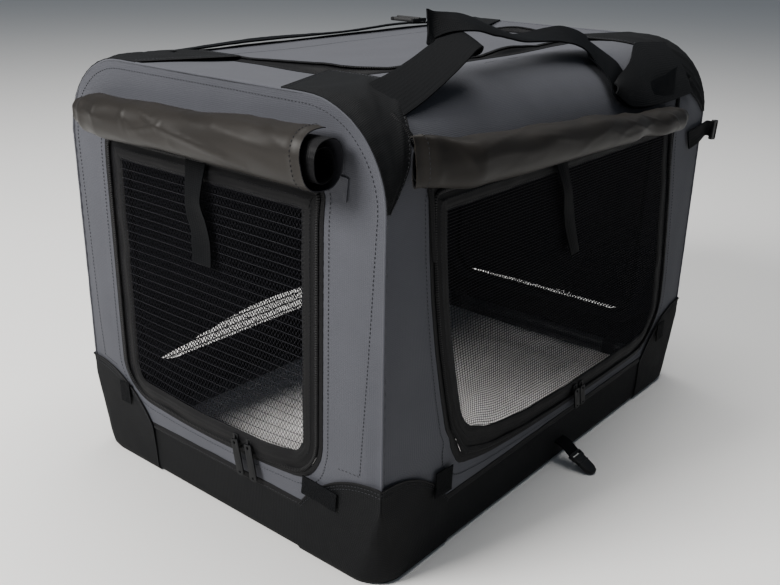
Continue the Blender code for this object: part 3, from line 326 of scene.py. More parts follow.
def coated_satin():
    # Polyester lining with a rubbed-on coating: smooth, a soft brownish gloss, many small crease lines.
    made, shader, place = start_finish("coated_satin_lining", "UV", IOR=1.48, Specular_IOR_Level=0.22)
    tree = made.node_tree
    wear = mottle(add_node(tree, "ShaderNodeTexCoord").outputs["Object"], 11.0, 5.0, 0.6)
    vary(shader, colour("satin"), wear, 0.35)
    slant = add_node(tree, "ShaderNodeMapping", {"Rotation": (0.0, 0.0, 0.55), "Scale": (9.0, 30.0, 1.0)},
                     {"Vector": place})
    creases = add_node(tree, "ShaderNodeTexNoise", {"Scale": 1.0, "Detail": 5.0, "Roughness": 0.55,
                                                    "Distortion": 0.8}, {"Vector": slant.outputs[0]},
                       noise_type="RIDGED_MULTIFRACTAL")
    height = combine("MULTIPLY_ADD", mottle(place, 900.0, 1.0), 0.05, creases.outputs["Fac"])
    raise_surface(shader, height, 0.20, 0.0016)
    tree.links.new(remap(wear, To_Min=0.40, To_Max=0.58), shader.inputs["Roughness"])
    return made


def knitted_net():
    # Warp-knitted polyester, stiffened: each thread a dull bundle whose loops give it a beaded edge.
    made, shader, place = start_finish("knitted_net_polyester", "UV", Roughness=0.50, Specular_IOR_Level=0.16)
    loops = bands(place, LOOP_PITCH)
    vary(shader, colour("net"), loops, 0.45)
    raise_surface(shader, loops, 0.6, 0.0006)
    return made


def glinting_level_thread():
    # The heavier level threads of the same net, whose loops stand proud; their pale colour is a painted
    # highlight,
    # glints of light along the loops: rows of light dots.
    made, shader, place = start_finish("level_thread_glint_polyester", "UV", Roughness=0.50, Specular_IOR_Level=0.3)
    loops = bands(place, LOOP_PITCH)
    blend_colours(shader, colour("net"), colour("level_glint"), remap(loops, From_Min=0.45, From_Max=0.75))
    raise_surface(shader, loops, 0.6, 0.0006)
    return made


def brushed_fleece():
    # Polyester fleece, knitted and brushed: a deep soft pile in small tufts about 3 mm across, no gloss.
    made, shader, place = start_finish("brushed_fleece_pile", "Object", Roughness=0.95, Sheen_Weight=0.6,
                                       Sheen_Roughness=0.7)
    tufts = cells(place, 330.0)
    vary(shader, colour("fleece"), combine("MULTIPLY_ADD", tufts, 0.5, mottle(place, 26.0, 4.0)), 0.22)
    raise_surface(shader, tufts, 0.8, 0.0020)
    return made


def nylon_coil():
    # Zip coil of nylon monofilament: a ridge of tight glossy turns. The 1.4 mm turns are drawn at 3 mm.
    made, shader, place = start_finish("nylon_zip_coil", "UV", Roughness=0.50, IOR=1.53,
                                       Specular_IOR_Level=0.12)
    turns = bands(place, 0.003)
    vary(shader, colour("binding"), turns, 0.6)
    raise_surface(shader, turns, 0.9, 0.0009)
    return made


def hook_tape():
    # Hook-and-loop tape of nylon: a dull black nap with a hard edge.
    made, shader, place = start_finish("hook_and_loop_tape", "Object", Roughness=0.90, Specular_IOR_Level=0.10)
    nap = cells(place, 520.0)
    vary(shader, colour("black"), nap, 0.5)
    raise_surface(shader, nap, 0.9, 0.0012)
    return made


def moulded_acetal():
    # Acetal plastic, injection-moulded with a fine spark texture: smooth, waxy, half matt.
    made, shader, place = start_finish("moulded_acetal", "Object", Roughness=0.46, IOR=1.48,
                                       Specular_IOR_Level=0.30)
    vary(shader, colour("plastic"), mottle(place, 60.0, 3.0), 0.3)
    raise_surface(shader, mottle(place, 1400.0), 0.25, 0.0003)
    return made


def painted_zinc():
    # Zinc die-casting with baked black paint: hard edges, a dark gloss, rubbed brighter where it is handled.
    made, shader, place = start_finish("painted_zinc_casting", "Object", Metallic=0.0, Specular_IOR_Level=0.15)
    rub = mottle(place, 160.0, 5.0)
    vary(shader, colour("black"), rub, 0.4)
    made.node_tree.links.new(remap(rub, To_Min=0.38, To_Max=0.55), shader.inputs["Roughness"])
    return made


def powder_coated_tube():
    # Drawn steel tube, powder-coated dark grey: slight orange peel under an even satin gloss.
    made, shader, place = start_finish("powder_coated_steel", "Object", Roughness=0.42, Metallic=0.0)
    vary(shader, colour("tube"), mottle(place, 30.0, 4.0), 0.25)
    raise_surface(shader, mottle(place, 480.0), 0.3, 0.0004)
    return made


def zinc_plate():
    # Steel rivet, bright zinc plate: fine turned marks and a cool white gloss.
    made, shader, place = start_finish("zinc_plated_steel", "Object", Roughness=0.30, Metallic=1.0)
    marks = mottle(place, 700.0, 3.0)
    vary(shader, colour("rivet"), marks, 0.2)
    raise_surface(shader, marks, 0.15, 0.0002)
    return made


def pressed_hardboard():
    # Hardboard, pressed smooth: brown fibre flecks under a dull glaze.
    made, shader, place = start_finish("pressed_hardboard", "Object", Roughness=0.75)
    fibre = mottle(place, 210.0, 8.0, 0.7)
    vary(shader, colour("board"), fibre, 0.4)
    raise_surface(shader, fibre, 0.3, 0.0004)
    return made


def sewing_thread():
    # Bonded polyester thread: thin, round, slightly glossy, a shade lighter than the cloth.
    made, shader, place = start_finish("bonded_thread", "Object", Roughness=0.6, Specular_IOR_Level=0.2)
    vary(shader, colour("thread"), mottle(place, 900.0), 0.3)
    return made


def studio_floor():
    # Matt pale paint on a smooth floor, with a barely seen drift in tone.
    made, shader, place = start_finish("matt_floor_paint", "Object", Roughness=0.8)
    vary(shader, colour("floor"), mottle(place, 0.7), 0.02)
    return made


FINISHES = {}


def finish(make):
    """The material of that finish, made once."""
    if make.__name__ not in FINISHES:
        FINISHES[make.__name__] = make()
    return FINISHES[make.__name__]


# Mesh making

def sheet_mesh(columns, rows, point, flat=None):
    """Mesh of a sheet whose point(u, v) is given, with its flat cloth coordinates kept for the weave."""
    count = columns + 1
    spots = [(i / columns, j / rows) for j in range(rows + 1) for i in range(count)]
    faces = [(j * count + i, j * count + i + 1, (j + 1) * count + i + 1, (j + 1) * count + i)
             for j in range(rows) for i in range(columns)]
    mesh = bpy.data.meshes.new("sheet")
    mesh.from_pydata([point(u, v) for u, v in spots], [], faces)
    laid = [flat(u, v) if flat else (u, v) for u, v in spots]
    layer = mesh.uv_layers.new(name="cloth")
    for loop in mesh.loops:
        layer.data[loop.index].uv = laid[loop.vertex_index]
    return mesh


def weld(mesh, cap=False):
    """Join the meeting edges of a mesh, cap its open ends if asked, and point its faces out."""
    bm = bmesh.new()
    bm.from_mesh(mesh)
    bmesh.ops.remove_doubles(bm, verts=bm.verts, dist=0.00002)
    if cap:
        bmesh.ops.holes_fill(bm, edges=[e for e in bm.edges if e.is_boundary], sides=0)
    bmesh.ops.recalc_face_normals(bm, faces=bm.faces)
    bm.to_mesh(mesh)
    bm.free()
    return mesh


def sweep(path, sides, ups, profile, closed=False):
    """Carry a closed profile along a path: each station has a side and an up direction."""
    count = len(path)
    stations = count if closed else count - 1
    lengths = [0.0]
    for i in range(stations):
        lengths.append(lengths[-1] + (Vector(path[(i + 1) % count]) - Vector(path[i])).length)
    turns = len(profile)
    around = [0.0]
    for j in range(turns):
        a, b = Vector(profile[j]), Vector(profile[(j + 1) % turns])
        around.append(around[-1] + (b - a).length)

    def point(u, v):
        i, j = round(u * stations) % count, round(v * turns) % turns
        a, b = profile[j]
        return Vector(path[i]) + Vector(sides[i]) * a + Vector(ups[i]) * b

    mesh = sheet_mesh(stations, turns, point,
                      lambda u, v: (lengths[round(u * stations)], around[round(v * turns)]))
    return weld(mesh, not closed)


def heading(points, k, closed=False):
    """Direction in which a line of points runs at its k-th one."""
    ahead = points[(k + 1) % len(points)] if closed else points[min(k + 1, len(points) - 1)]
    return (ahead - points[k - 1 if closed else max(k - 1, 0)]).normalized()


def beside(points, ups):
    """Sideways directions of a line of points, from its up directions."""
    return [heading(points, k).cross(up) for k, up in enumerate(ups)]


def ring(radius, sides=8, flat=1.0):
    """Round or flattened profile."""
    return [(radius * math.cos(2 * math.pi * i / sides), radius * flat * math.sin(2 * math.pi * i / sides))
            for i in range(sides)]


def merge_meshes(meshes):
    """Put several meshes into one."""
    bm = bmesh.new()
    for mesh in meshes:
        bm.from_mesh(mesh)
        bpy.data.meshes.remove(mesh)
    merged = bpy.data.meshes.new("merged")
    bm.to_mesh(merged)
    bm.free()
    return merged


def resample(points, spacing, closed=False):
    """Evenly spaced points along a line."""
    line = [Vector(p) for p in points]
    if closed:
        line.append(line[0].copy())
    marks = [0.0]
    for a, b in zip(line, line[1:]):
        marks.append(marks[-1] + (b - a).length)
    count = max(2, round(marks[-1] / spacing))
    out, k = [], 0
    for i in range(count if closed else count + 1):
        target = marks[-1] * i / count
        while k < len(line) - 2 and marks[k + 1] < target:
            k += 1
        share = (target - marks[k]) / max(marks[k + 1] - marks[k], 1e-9)
        out.append(line[k].lerp(line[k + 1], min(1.0, share)))
    return out


def arc_points(centre, radius, start, end, steps=8):
    """Points of an arc, from one angle to another in degrees."""
    return [(centre[0] + radius * math.cos(math.radians(start + (end - start) * i / steps)),
             centre[1] + radius * math.sin(math.radians(start + (end - start) * i / steps)))
            for i in range(steps + 1)]


def rounded_outline(low, high, radii):
    """Rectangle outline with a radius for each corner: low left, low right, top right, top left."""
    corners = ((low[0] + radii[0], low[1] + radii[0], 180), (high[0] - radii[1], low[1] + radii[1], 270),
               (high[0] - radii[2], high[1] - radii[2], 0), (low[0] + radii[3], high[1] - radii[3], 90))
    points = []
    for (x, y, start), radius in zip(corners, radii):
        points += arc_points((x, y), radius, start, start + 90)
    return points


def turned(wall):
    """Direction along a wall in which its sheet runs, so that the sheet faces out."""
    return -1 if wall in ("rear", "left") else 1


def is_long(wall):
    """Whether the wall is a long side."""
    return wall in ("front", "rear")


def outward(wall):
    """Direction that a wall faces."""
    return {"front": Vector((0, -1, 0)), "rear": Vector((0, 1, 0)),
            "left": Vector((-1, 0, 0)), "right": Vector((1, 0, 0))}[wall]


def opening_limits(wall):
    """Low and high corner of a wall's opening, along the wall and up."""
    low, high = NET_LONG if is_long(wall) else NET_END
    axis = 0 if is_long(wall) else 1
    return (low[axis] - 0.001, low[2] - 0.001), (high[axis] + 0.001, high[2] + 0.001)


def opening_outline(wall, inset):
    """Outline of a wall's opening, drawn in by an inset or let out by a negative one."""
    (left, low), (right, high) = opening_limits(wall)
    radius = max((LONG_RADIUS if is_long(wall) else END_RADIUS) - inset, 0.004)
    top = max(TOP_RADIUS - inset, TOP_RADIUS / 2)
    return rounded_outline((left + inset, low + inset), (right - inset, high - inset),
                           [radius, radius, top, top])


def opening_distance(wall, along, climb):
    """Distance from a point of a wall to its opening, negative inside it."""
    (left, low), (right, high) = opening_limits(wall)
    radius = (LONG_RADIUS if is_long(wall) else END_RADIUS) if climb < (low + high) / 2 else TOP_RADIUS
    over_x = abs(along - (left + right) / 2) - (right - left) / 2 + radius
    over_z = abs(climb - (low + high) / 2) - (high - low) / 2 + radius
    return math.hypot(max(over_x, 0), max(over_z, 0)) + min(max(over_x, over_z), 0) - radius


def smooth(share):
    """Ease from 0 to 1."""
    share = min(1.0, max(0.0, share))
    return share * share * (3 - 2 * share)


def between(table, place):
    """Values read off a table of places, eased from one row to the next."""
    for a, b in zip(table, table[1:]):
        if place <= b[0]:
            share = smooth((place - a[0]) / (b[0] - a[0]))
            return [p + (q - p) * share for p, q in zip(a[1:], b[1:])]
    return list(table[-1][1:])


def swell(wall, along, climb):
    """How far a wall's cloth stands off its plane: slack in the open, ripples by the seams."""
    seed = 7.3 * WALLS.index(wall)
    broad = noise.noise(Vector((along * 8, climb * 7, seed)))
    fine = noise.noise(Vector((along * 27, climb * 15, seed + 3)))
    clear = opening_distance(wall, along, climb)
    seam = (SHELL_X if is_long(wall) else SHELL_Y) - abs(along)
    ripple = math.sin(climb * 390 + 5 * broad) * math.exp(-max(seam, 0) / 0.014)
    ripple += math.sin((along + climb) * 430 + 5 * fine) * math.exp(-abs(clear - 0.012) / 0.008) * 0.6
    slack = (0.5 * broad + 0.28 + 0.22 * fine) * smooth(clear / 0.045) * smooth(seam / 0.03)
    slack *= smooth((math.hypot(seam, climb) - 0.118) / 0.04)
    fold = math.exp(-((clear - 0.014) / 0.0035) ** 2) * 0.0006
    return sizes().slack * slack + sizes().pucker * ripple * 0.6 + fold


def section(climb, lift):
    """Point across the crate of the long side's cloth: out from the middle, and up."""
    over = climb - SHOULDER_FOOT
    if over <= 0:
        return SHELL_Y + lift, climb
    if over >= QUARTER:
        return SHOULDER_INNER - (over - QUARTER), SHELL_Z + lift
    turn = over / SHOULDER_RADIUS
    radius = SHOULDER_RADIUS + lift
    return SHOULDER_INNER + radius * math.cos(turn), SHOULDER_FOOT + radius * math.sin(turn)


def on_cover(wall, along, climb, lift=0.0, swollen=True):
    """Point of the cover: along a wall, climb metres of cloth above the floor, lifted off it."""
    if swollen:
        lift += swell(wall, along, climb)
    if is_long(wall):
        y, z = section(climb, lift)
        if climb > CLIMB_TOP:
            z += roof_sag(along, y) - (swell(wall, along, climb) if swollen else 0)
        return Vector((along, y if wall == "rear" else -y, z))
    return Vector(((SHELL_X + lift) * (1 if wall == "right" else -1), along, climb))


def roof_sag(x, y):
    """Height of the roof cloth against its plane: sunk between the bars, with long shallow waves."""
    room_x = smooth((WRAP_END - abs(x)) / 0.09)
    room_y = smooth((SHOULDER_INNER - abs(y)) / 0.05)
    wave = noise.noise(Vector((x * 6, y * 13, 4.0)))
    return sizes().roof_sag * room_x * room_y * (0.75 * wave - 0.55)


def bake(obj):
    """Apply an object's modifiers to its mesh."""
    graph = bpy.context.evaluated_depsgraph_get()
    mesh = bpy.data.meshes.new_from_object(obj.evaluated_get(graph))
    obj.modifiers.clear()
    old = obj.data
    obj.data = mesh
    mesh.name = old.name
    bpy.data.meshes.remove(old)
    return obj


def shade(obj, angle=35):
    """Shade a piece smooth apart from its sharp edges."""
    obj.data.shade_smooth()
    obj.data.set_sharp_from_angle(angle=math.radians(angle))


def new_object(name, mesh, makes):
    """Put a mesh in the scene with its finishes."""
    mesh.name = name
    mesh.materials.clear()
    for make in makes:
        mesh.materials.append(finish(make))
    obj = bpy.data.objects.new(name, mesh)
    bpy.context.scene.collection.objects.link(obj)
    bpy.context.view_layer.update()
    return obj


def thicken(obj, thickness, offset, lined=False):
    """Give a sheet its thickness, with the second finish on its inner face if it is lined."""
    layer = obj.modifiers.new("thickness", "SOLIDIFY")
    layer.thickness = thickness
    layer.offset = offset
    if lined:
        layer.material_offset = 1
        layer.material_offset_rim = 1
    return layer


def cut(obj, cutter, operation="DIFFERENCE"):
    """Cut a piece with a closed mesh."""
    tool = bpy.data.objects.new("cutter", cutter)
    bpy.context.scene.collection.objects.link(tool)
    trim = obj.modifiers.new("trim", "BOOLEAN")
    trim.object, trim.operation, trim.solver = tool, operation, "EXACT"
    bpy.context.view_layer.update()
    bake(obj)
    bpy.data.objects.remove(tool, do_unlink=True)
    bpy.data.meshes.remove(cutter)


def prism(outlines, wall, depth=0.03):
    """Closed prisms through a wall, one for each outline; wall None cuts the roof."""
    meshes = []
    for outline in outlines:
        rings = []
        for level in (-depth, depth):
            for a, b in outline:
                if wall is None:
                    rings.append((a, b, SHELL_Z + level))
                else:
                    plane = (SHELL_Y if is_long(wall) else SHELL_X) + level
                    out = outward(wall) * plane
                    rings.append((a + out.x, out.y, b) if is_long(wall) else (out.x, a + out.y, b))
        n = len(outline)
        faces = [(i, (i + 1) % n, n + (i + 1) % n, n + i) for i in range(n)]
        faces += [tuple(range(n))[::-1], tuple(range(n, 2 * n))]
        mesh = bpy.data.meshes.new("prism")
        mesh.from_pydata(rings, [], faces)
        meshes.append(weld(mesh))
    return merge_meshes(meshes)


def eased(values, table, column, reach):
    """Table values, averaged over a reach to both sides so that they have no kinks."""
    keys, rows = [r[0] for r in table], [r[column] for r in table]
    return sum(numpy.interp(values + reach * step / 3, keys, rows) for step in range(-3, 4)) / 7


def pull_openings(obj):
    """Draw a wall's piece out of square with its slack cloth, but not where a corner guard holds it."""
    spots = numpy.empty(len(obj.data.vertices) * 3, dtype=numpy.float32)
    obj.data.vertices.foreach_get("co", spots)
    spots = spots.reshape(-1, 3)
    for axis, way, zone, heights, places in PULLS.values():
        in_zone = spots[:, axis] * way > zone
        along, high = spots[in_zone, 1 - axis], spots[in_zone, 2]
        away = numpy.hypot(abs(along) - (SHELL_X if axis else SHELL_Y), high)
        share = numpy.clip((away - 0.115) / 0.040, 0, 1)
        share = share * share * (3 - 2 * share)
        moves = [share * eased(high, heights, k, 0.016) * eased(along, places, k, 0.025) for k in (1, 2, 3)]
        spots[in_zone, 1 - axis] += moves[0] + moves[1]
        spots[in_zone, 2] += moves[2]
    obj.data.vertices.foreach_set("co", spots.ravel())
    obj.data.update()


def settle(obj, body, replaces=(), folded=None):
    """Hand a finished piece to the frame: draw a cover piece's openings out of square, put it on its body, hide
    the parts that it stands for, and give a folding piece a mesh of its own.
    """
    if folded == "cover" and not obj.name.startswith("hook_tab"):
        pull_openings(obj)
    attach(obj, body)
    if replaces:
        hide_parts(*replaces)
    if folded:
        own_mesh(obj)
    return obj


def add_piece(name, mesh, makes, slot="black_fabric", body="crate_base", replaces=(), folded=None, angle=35,
              thick=None, cutters=()):
    """Put a whole piece in the scene: thickened if it is a sheet, cut, shaded and handed to the frame."""
    piece = new_object(name, mesh, makes)
    if thick:
        thicken(piece, *thick)
        if not cutters:
            bake(piece)
    for cutter in cutters:
        cut(piece, *cutter)
    if angle:
        shade(piece, angle)
    return settle(piece, body, replaces, folded)


def stitch_pitch():
    """Distance from one stitch to the next."""
    return sizes().stitch * 1.5


def add_stitches(body, folded, points, normals, closed=False):
    """Note a row of stitches, which are all made at the end."""
    STITCHES.setdefault((body, folded), []).append((points, normals, closed))


def facing(wall, climb):
    """Direction that the cover faces at a height of a wall, over the shoulder too."""
    turn = max(0.0, climb - SHOULDER_FOOT) / SHOULDER_RADIUS if is_long(wall) else 0.0
    return outward(wall) * math.cos(turn) + RISE * math.sin(turn)


def wall_row(wall, outline, closed):
    """A row of stitches on a wall, along an outline given along the wall and up."""
    places = resample([(a, b, 0) for a, b in outline], stitch_pitch(), closed)
    add_stitches("crate_base", "cover", [on_cover(wall, p.x, p.y, 0.0004) for p in places],
                 [facing(wall, p.y) for p in places], closed)


def lay_ribbon(name, frames, thickness, steps, cup, make=None, **place):
    """Webbing through edge pairs: each frame is the strap's two edge points."""
    rows = [(Vector(a), Vector(b)) for a, b in frames]

    def blend(values, t):
        i = min(int(t), len(values) - 2)
        s = t - i
        p0, p1 = values[max(i - 1, 0)], values[i]
        p2, p3 = values[i + 1], values[min(i + 2, len(values) - 1)]
        return 0.5 * ((2 * p1) + (p2 - p0) * s + (2 * p0 - 5 * p1 + 4 * p2 - p3) * s * s
                      + (3 * p1 - p0 - 3 * p2 + p3) * s ** 3)

    lows, highs = [r[0] for r in rows], [r[1] for r in rows]
    span = len(rows) - 1
    columns = span * steps
    marks = [0.0]
    for i in range(columns):
        a = blend(lows, span * i / columns) + blend(highs, span * i / columns)
        b = blend(lows, span * (i + 1) / columns) + blend(highs, span * (i + 1) / columns)
        marks.append(marks[-1] + (b - a).length / 2)
    width = sum((b - a).length for a, b in rows) / len(rows)

    def point(u, v):
        low, high = blend(lows, span * u), blend(highs, span * u)
        near = min(1.0, u + 0.002)
        ahead = blend(lows, span * near) + blend(highs, span * near) - low - high
        if ahead.length < 1e-9:
            back = blend(lows, span * (u - 0.002)) + blend(highs, span * (u - 0.002))
            ahead = low + high - back
        normal = ahead.cross(high - low).normalized()
        grain = noise.noise(Vector((marks[round(u * columns)] * 60, v * 3, 1)))
        return low.lerp(high, v) + normal * (cup * (1 - (2 * v - 1) ** 2) + 0.0004 * grain)

    mesh = sheet_mesh(columns, 8, point, lambda u, v: (marks[round(u * columns)], v * width))
    return add_piece(name, mesh, [make or polypropylene_webbing], angle=50, thick=(thickness, 0), **place)


class CrateOperator:
    """What all the makers share."""
    bl_options = {"REGISTER", "UNDO"}


class MakeBaseBand(CrateOperator, bpy.types.Operator):
    """Make the black cloth tub of the base, with its round bottom edge"""
    bl_idname = "travel_crate.make_base_band"
    bl_label = "Base band"

    def execute(self, context):
        # Length of the cloth round the base, and rings of it from the middle of the floor to the upper edge
        girth = 2.52
        rings = [(0.16, 0.0), (0.08, 0.0), (0.035, 0.0), (0.012, 0.0), (0.0045, 0.0008), (0.0012, 0.0038),
                 (0.0, 0.009)]
        rings += [(0.0, 0.009 + (BAND_TOP - 0.009) * k / 9) for k in range(1, 10)]
        outlines = []
        for inset, _ in rings:
            radius = max(CORNER_RADIUS - inset, 0.006)
            outline = rounded_outline((-SHELL_X + inset, -SHELL_Y + inset), (SHELL_X - inset, SHELL_Y - inset),
                                      [radius] * 4)
            outlines.append(resample([(x, y, 0) for x, y in outline], girth / 168, True))
        columns = min(len(o) for o in outlines)
        outlines = [[o[round(i * (len(o) - 1) / (columns - 1))] for i in range(columns)] for o in outlines]
        last = len(rings) - 1

        def point(u, v):
            i, j = round(u * columns) % columns, round(v * last)
            x, y, _ = outlines[j][i]
            z = rings[j][1]
            centre = min(smooth((SHELL_X - 0.10 - abs(x)) / 0.05) if abs(y) > SHELL_Y - 0.04 else
                         smooth((SHELL_Y - 0.10 - abs(y)) / 0.05), 1.0)
            slack = (noise.noise(Vector((x * 11, y * 11, z * 16))) + 0.2) * 0.0016 * centre * smooth(z / 0.03)
            slack *= smooth((BAND_TOP - z) / 0.02)
            push = Vector((x, 0, 0)) if abs(x) > SHELL_X - 0.01 else Vector((0, y, 0))
            shift = push.normalized() * slack if z > 0.004 and push.length > 0 else Vector()
            return Vector((x, y, z)) + shift

        mesh = weld(sheet_mesh(columns, last, point, lambda u, v: (u * girth, v * 0.26)))
        bm = bmesh.new()
        bm.from_mesh(mesh)
        bottom = [e for e in bm.edges if e.is_boundary and e.verts[0].co.z < 0.001]
        bmesh.ops.holes_fill(bm, edges=bottom, sides=0)
        bmesh.ops.recalc_face_normals(bm, faces=bm.faces)
        if sum(f.normal.z for f in bm.faces if f.calc_center_median().z < 0.0005) > 0:
            bmesh.ops.reverse_faces(bm, faces=bm.faces)
        bm.to_mesh(mesh)
        bm.free()
        band = add_piece("base_band", mesh, [black_oxford], replaces=["base_tray"], thick=(0.0023, -1))
        self.make_hems()
        return {"FINISHED"}

    def make_hems(self):
        """Turned hems over the joint between the base band and the walls."""
        reach = math.sqrt(GUARD_TOP ** 2 - BAND_TOP ** 2) - 0.004
        profile = [(0.0, 0.0003), (0.0, 0.0015), (0.0015, 0.0022), (0.0045, 0.0020), (0.0080, 0.0016),
                   (0.0088, 0.0010), (0.0088, 0.0003)]
        for wall in WALLS:
            half = (SHELL_X if is_long(wall) else SHELL_Y) - reach
            places = resample([(-half, 0, 0), (half, 0, 0)], 0.008)
            path = [on_cover(wall, p.x, BAND_TOP - 0.0040, 0.0, False) for p in places]
            sides = [RISE * (1 + 0.10 * noise.noise(Vector((p.x * 30, 1, 0)))) for p in places]
            hem = sweep(path, sides, [outward(wall)] * len(path), profile)
            add_piece("base_hem_" + wall, hem, [grosgrain_tape])
            edge = [on_cover(wall, p.x, BAND_TOP - 0.0010, 0.0020, False) for p in places]
            row = resample(edge, stitch_pitch())
            add_stitches("crate_base", None, row, [outward(wall)] * len(row))


def guard_plan(share, height, half):
    """Plan point of a corner guard's outer face, its outward direction and its distance round the corner."""
    radius = 0.0018 + (CORNER_RADIUS - 0.0018) * max(0.0, 1 - height / SHARP_HEIGHT)
    half_arc = radius * math.pi / 4
    flank = 3 * abs(share) - 1
    if flank <= 0:
        distance = 3 * share * half_arc
        angle = math.pi / 4 + distance / radius
        out = Vector((math.cos(angle), math.sin(angle), 0))
        return Vector((OVERLAY_X - radius, OVERLAY_Y - radius, 0)) + out * radius, out, distance
    straight = (half - half_arc) * flank / 2
    if share < 0:
        return Vector((OVERLAY_X, OVERLAY_Y - radius - straight, 0)), Vector((1, 0, 0)), half_arc + straight
    return Vector((OVERLAY_X - radius - straight, OVERLAY_Y, 0)), Vector((0, 1, 0)), half_arc + straight


class MakeCornerGuards(CrateOperator, bpy.types.Operator):
    """Make the black patches round the lower corners, with their bound upper edges"""
    bl_idname = "travel_crate.make_corner_guards"
    bl_label = "Corner guards"

    def execute(self, context):
        half = math.sqrt(GUARD_TOP ** 2 - BAND_TOP ** 2)
        for side, face, _, label in CORNERS:
            turn = Matrix.Diagonal((side, face, 1, 1))

            def place(u, v, lift=0.0):
                share, top = 2 * u - 1, GUARD_TOP
                for _ in range(6):
                    reach = min(abs(guard_plan(share, top, half)[2]), half)
                    top = math.sqrt(GUARD_TOP ** 2 - reach ** 2)
                height = GAP + (top - GAP) * v
                spot, out, _ = guard_plan(share, height, half)
                rough = noise.noise(Vector((u * 5, height * 22, side + 3 * face)))
                fine = noise.noise(Vector((u * 17, height * 55, side + 3 * face)))
                lift += max(0.0, 0.0014 * rough + 0.0005 * fine + 0.0006) * smooth(height / 0.02)
                edge = math.exp(-((1 - v) * (top - GAP) / 0.004) ** 2) * 0.0008
                # The foot is turned in a little under the crate
                lift -= 0.0042 * (1 - smooth(height / 0.009 + 0.15))
                return turn @ (spot + out * (lift + edge) + Vector((0, 0, height))), turn.to_3x3() @ out

            mesh = sheet_mesh(54, 22, lambda u, v: place(u, v)[0], lambda u, v: (u * 0.29, v * 0.14))
            guard = add_piece("guard_" + label, mesh, [black_oxford], replaces=["corner_guard_" + label],
                              folded="guard", thick=(0.0014, -1 if side == face else 1))
            spots = [place(k / 72, 1.0) for k in range(73)]
            ups = [out for _, out in spots]
            sides = beside([spot for spot, _ in spots], ups)
            welt = sweep([spot + out * 0.0002 for spot, out in spots], sides, ups, ring(0.0013, 6, 0.8))
            add_piece("guard_edge_" + label, welt, [grosgrain_tape], folded="guard", angle=60)
            for depth in (0.965, 0.93):
                row = [place(k / 120, depth, 0.0003) for k in range(121)]
                add_stitches("crate_base", "guard", [r[0] for r in row], [r[1] for r in row])
        return {"FINISHED"}


class MakeWallPanels(CrateOperator, bpy.types.Operator):
    """Make the four wall cloths, slack and puckered, with their openings cut"""
    bl_idname = "travel_crate.make_wall_panels"
    bl_label = "Wall cloths"

    def execute(self, context):
        for wall in ("front", "rear"):
            self.make_long(wall)
        for wall in ("left", "right"):
            self.make_end(wall)
        for wall in WALLS:
            # Two rows of stitches round each opening
            for inset in (-0.0035, -0.0135):
                wall_row(wall, opening_outline(wall, inset), True)
        return {"FINISHED"}

    def add_cloth(self, wall, mesh, cutters, flat, area):
        """Lined cloth of a wall, cut to its outline."""
        panel = add_piece(wall + "_wall_cloth", mesh, [grey_oxford, lining_and_painted_shade], "grey_fabric",
                          replaces=[wall + "_panel"], folded="cover", thick=(sizes().cloth, -1, True),
                          cutters=cutters)

    def make_long(self, wall):
        """Long side cloth, from the base band over the shoulder."""
        span = CLIMB_TOP - PANEL_FOOT
        mesh = sheet_mesh(112, 74, lambda u, v: on_cover(wall, turned(wall) * WRAP_END * (2 * u - 1),
                                                         PANEL_FOOT + span * v),
                          lambda u, v: (2 * WRAP_END * u, span * v))
        discs = [[(side * SHELL_X + x, z) for x, z in arc_points((0, 0), UNDER_GUARD, 0, 352.5, 47)]
                 for side in (-1, 1)]
        self.add_cloth(wall, mesh, [(prism([opening_outline(wall, 0)] + discs, wall),)],
                       (2 * WRAP_END, span), 0.212)

    def make_end(self, wall):
        """End cloth, cut round the guards below and round the shoulders above."""
        foot_angle = math.degrees(math.asin(PANEL_FOOT / UNDER_GUARD))
        right = arc_points((SHELL_Y, 0), UNDER_GUARD, 180 - foot_angle, 90, 10)
        right += arc_points((SHOULDER_INNER, SHOULDER_FOOT), SHOULDER_RADIUS, 0, 90, 20)
        outline = right + [(-y, z) for y, z in reversed(right)]
        # The sheet stands past its outline on every side
        spare = 0.01
        half, low, high = SHELL_Y + spare, PANEL_FOOT - spare, SHELL_Z + spare
        mesh = sheet_mesh(84, 78, lambda u, v: on_cover(wall, turned(wall) * (2 * u - 1) * half,
                                                        low + (high - low) * v),
                          lambda u, v: ((2 * u - 1) * half, (high - low) * v))
        cutters = [(prism([outline], wall), "INTERSECT"), (prism([opening_outline(wall, 0)], wall),)]
        self.add_cloth(wall, mesh, cutters, (2 * SHELL_Y, SHELL_Z - PANEL_FOOT), 0.121)
        inner = arc_points((SHELL_Y, 0), 0.150, 112, 100, 4)
        inner += arc_points((SHOULDER_INNER, SHOULDER_FOOT), SHOULDER_RADIUS - 0.010, 0, 90, 14)
        wall_row(wall, inner + [(-y, z) for y, z in reversed(inner)], False)


def end_seam(side):
    """Line of an end's seam, from guard to guard over the roof, with its outward directions."""
    base = [(SHELL_Y, 0.128), (SHELL_Y, 0.22), (SHELL_Y, 0.34)]
    base += arc_points((SHOULDER_INNER, SHOULDER_FOOT), SHOULDER_RADIUS, 0, 90, 16)
    line = [(y, z, 0) for y, z in base] + [(-y, z, 0) for y, z in reversed(base)]
    places = resample(line, 0.007)
    points, outs = [], []
    for y, z, _ in places:
        if z <= SHOULDER_FOOT:
            out = Vector((0, math.copysign(1, y), 0))
        elif abs(y) <= SHOULDER_INNER:
            out = RISE
        else:
            out = Vector((0, y - math.copysign(SHOULDER_INNER, y), z - SHOULDER_FOOT)).normalized()
        points.append(Vector((side * SHELL_X, y, z)))
        outs.append(out)
    return points, outs


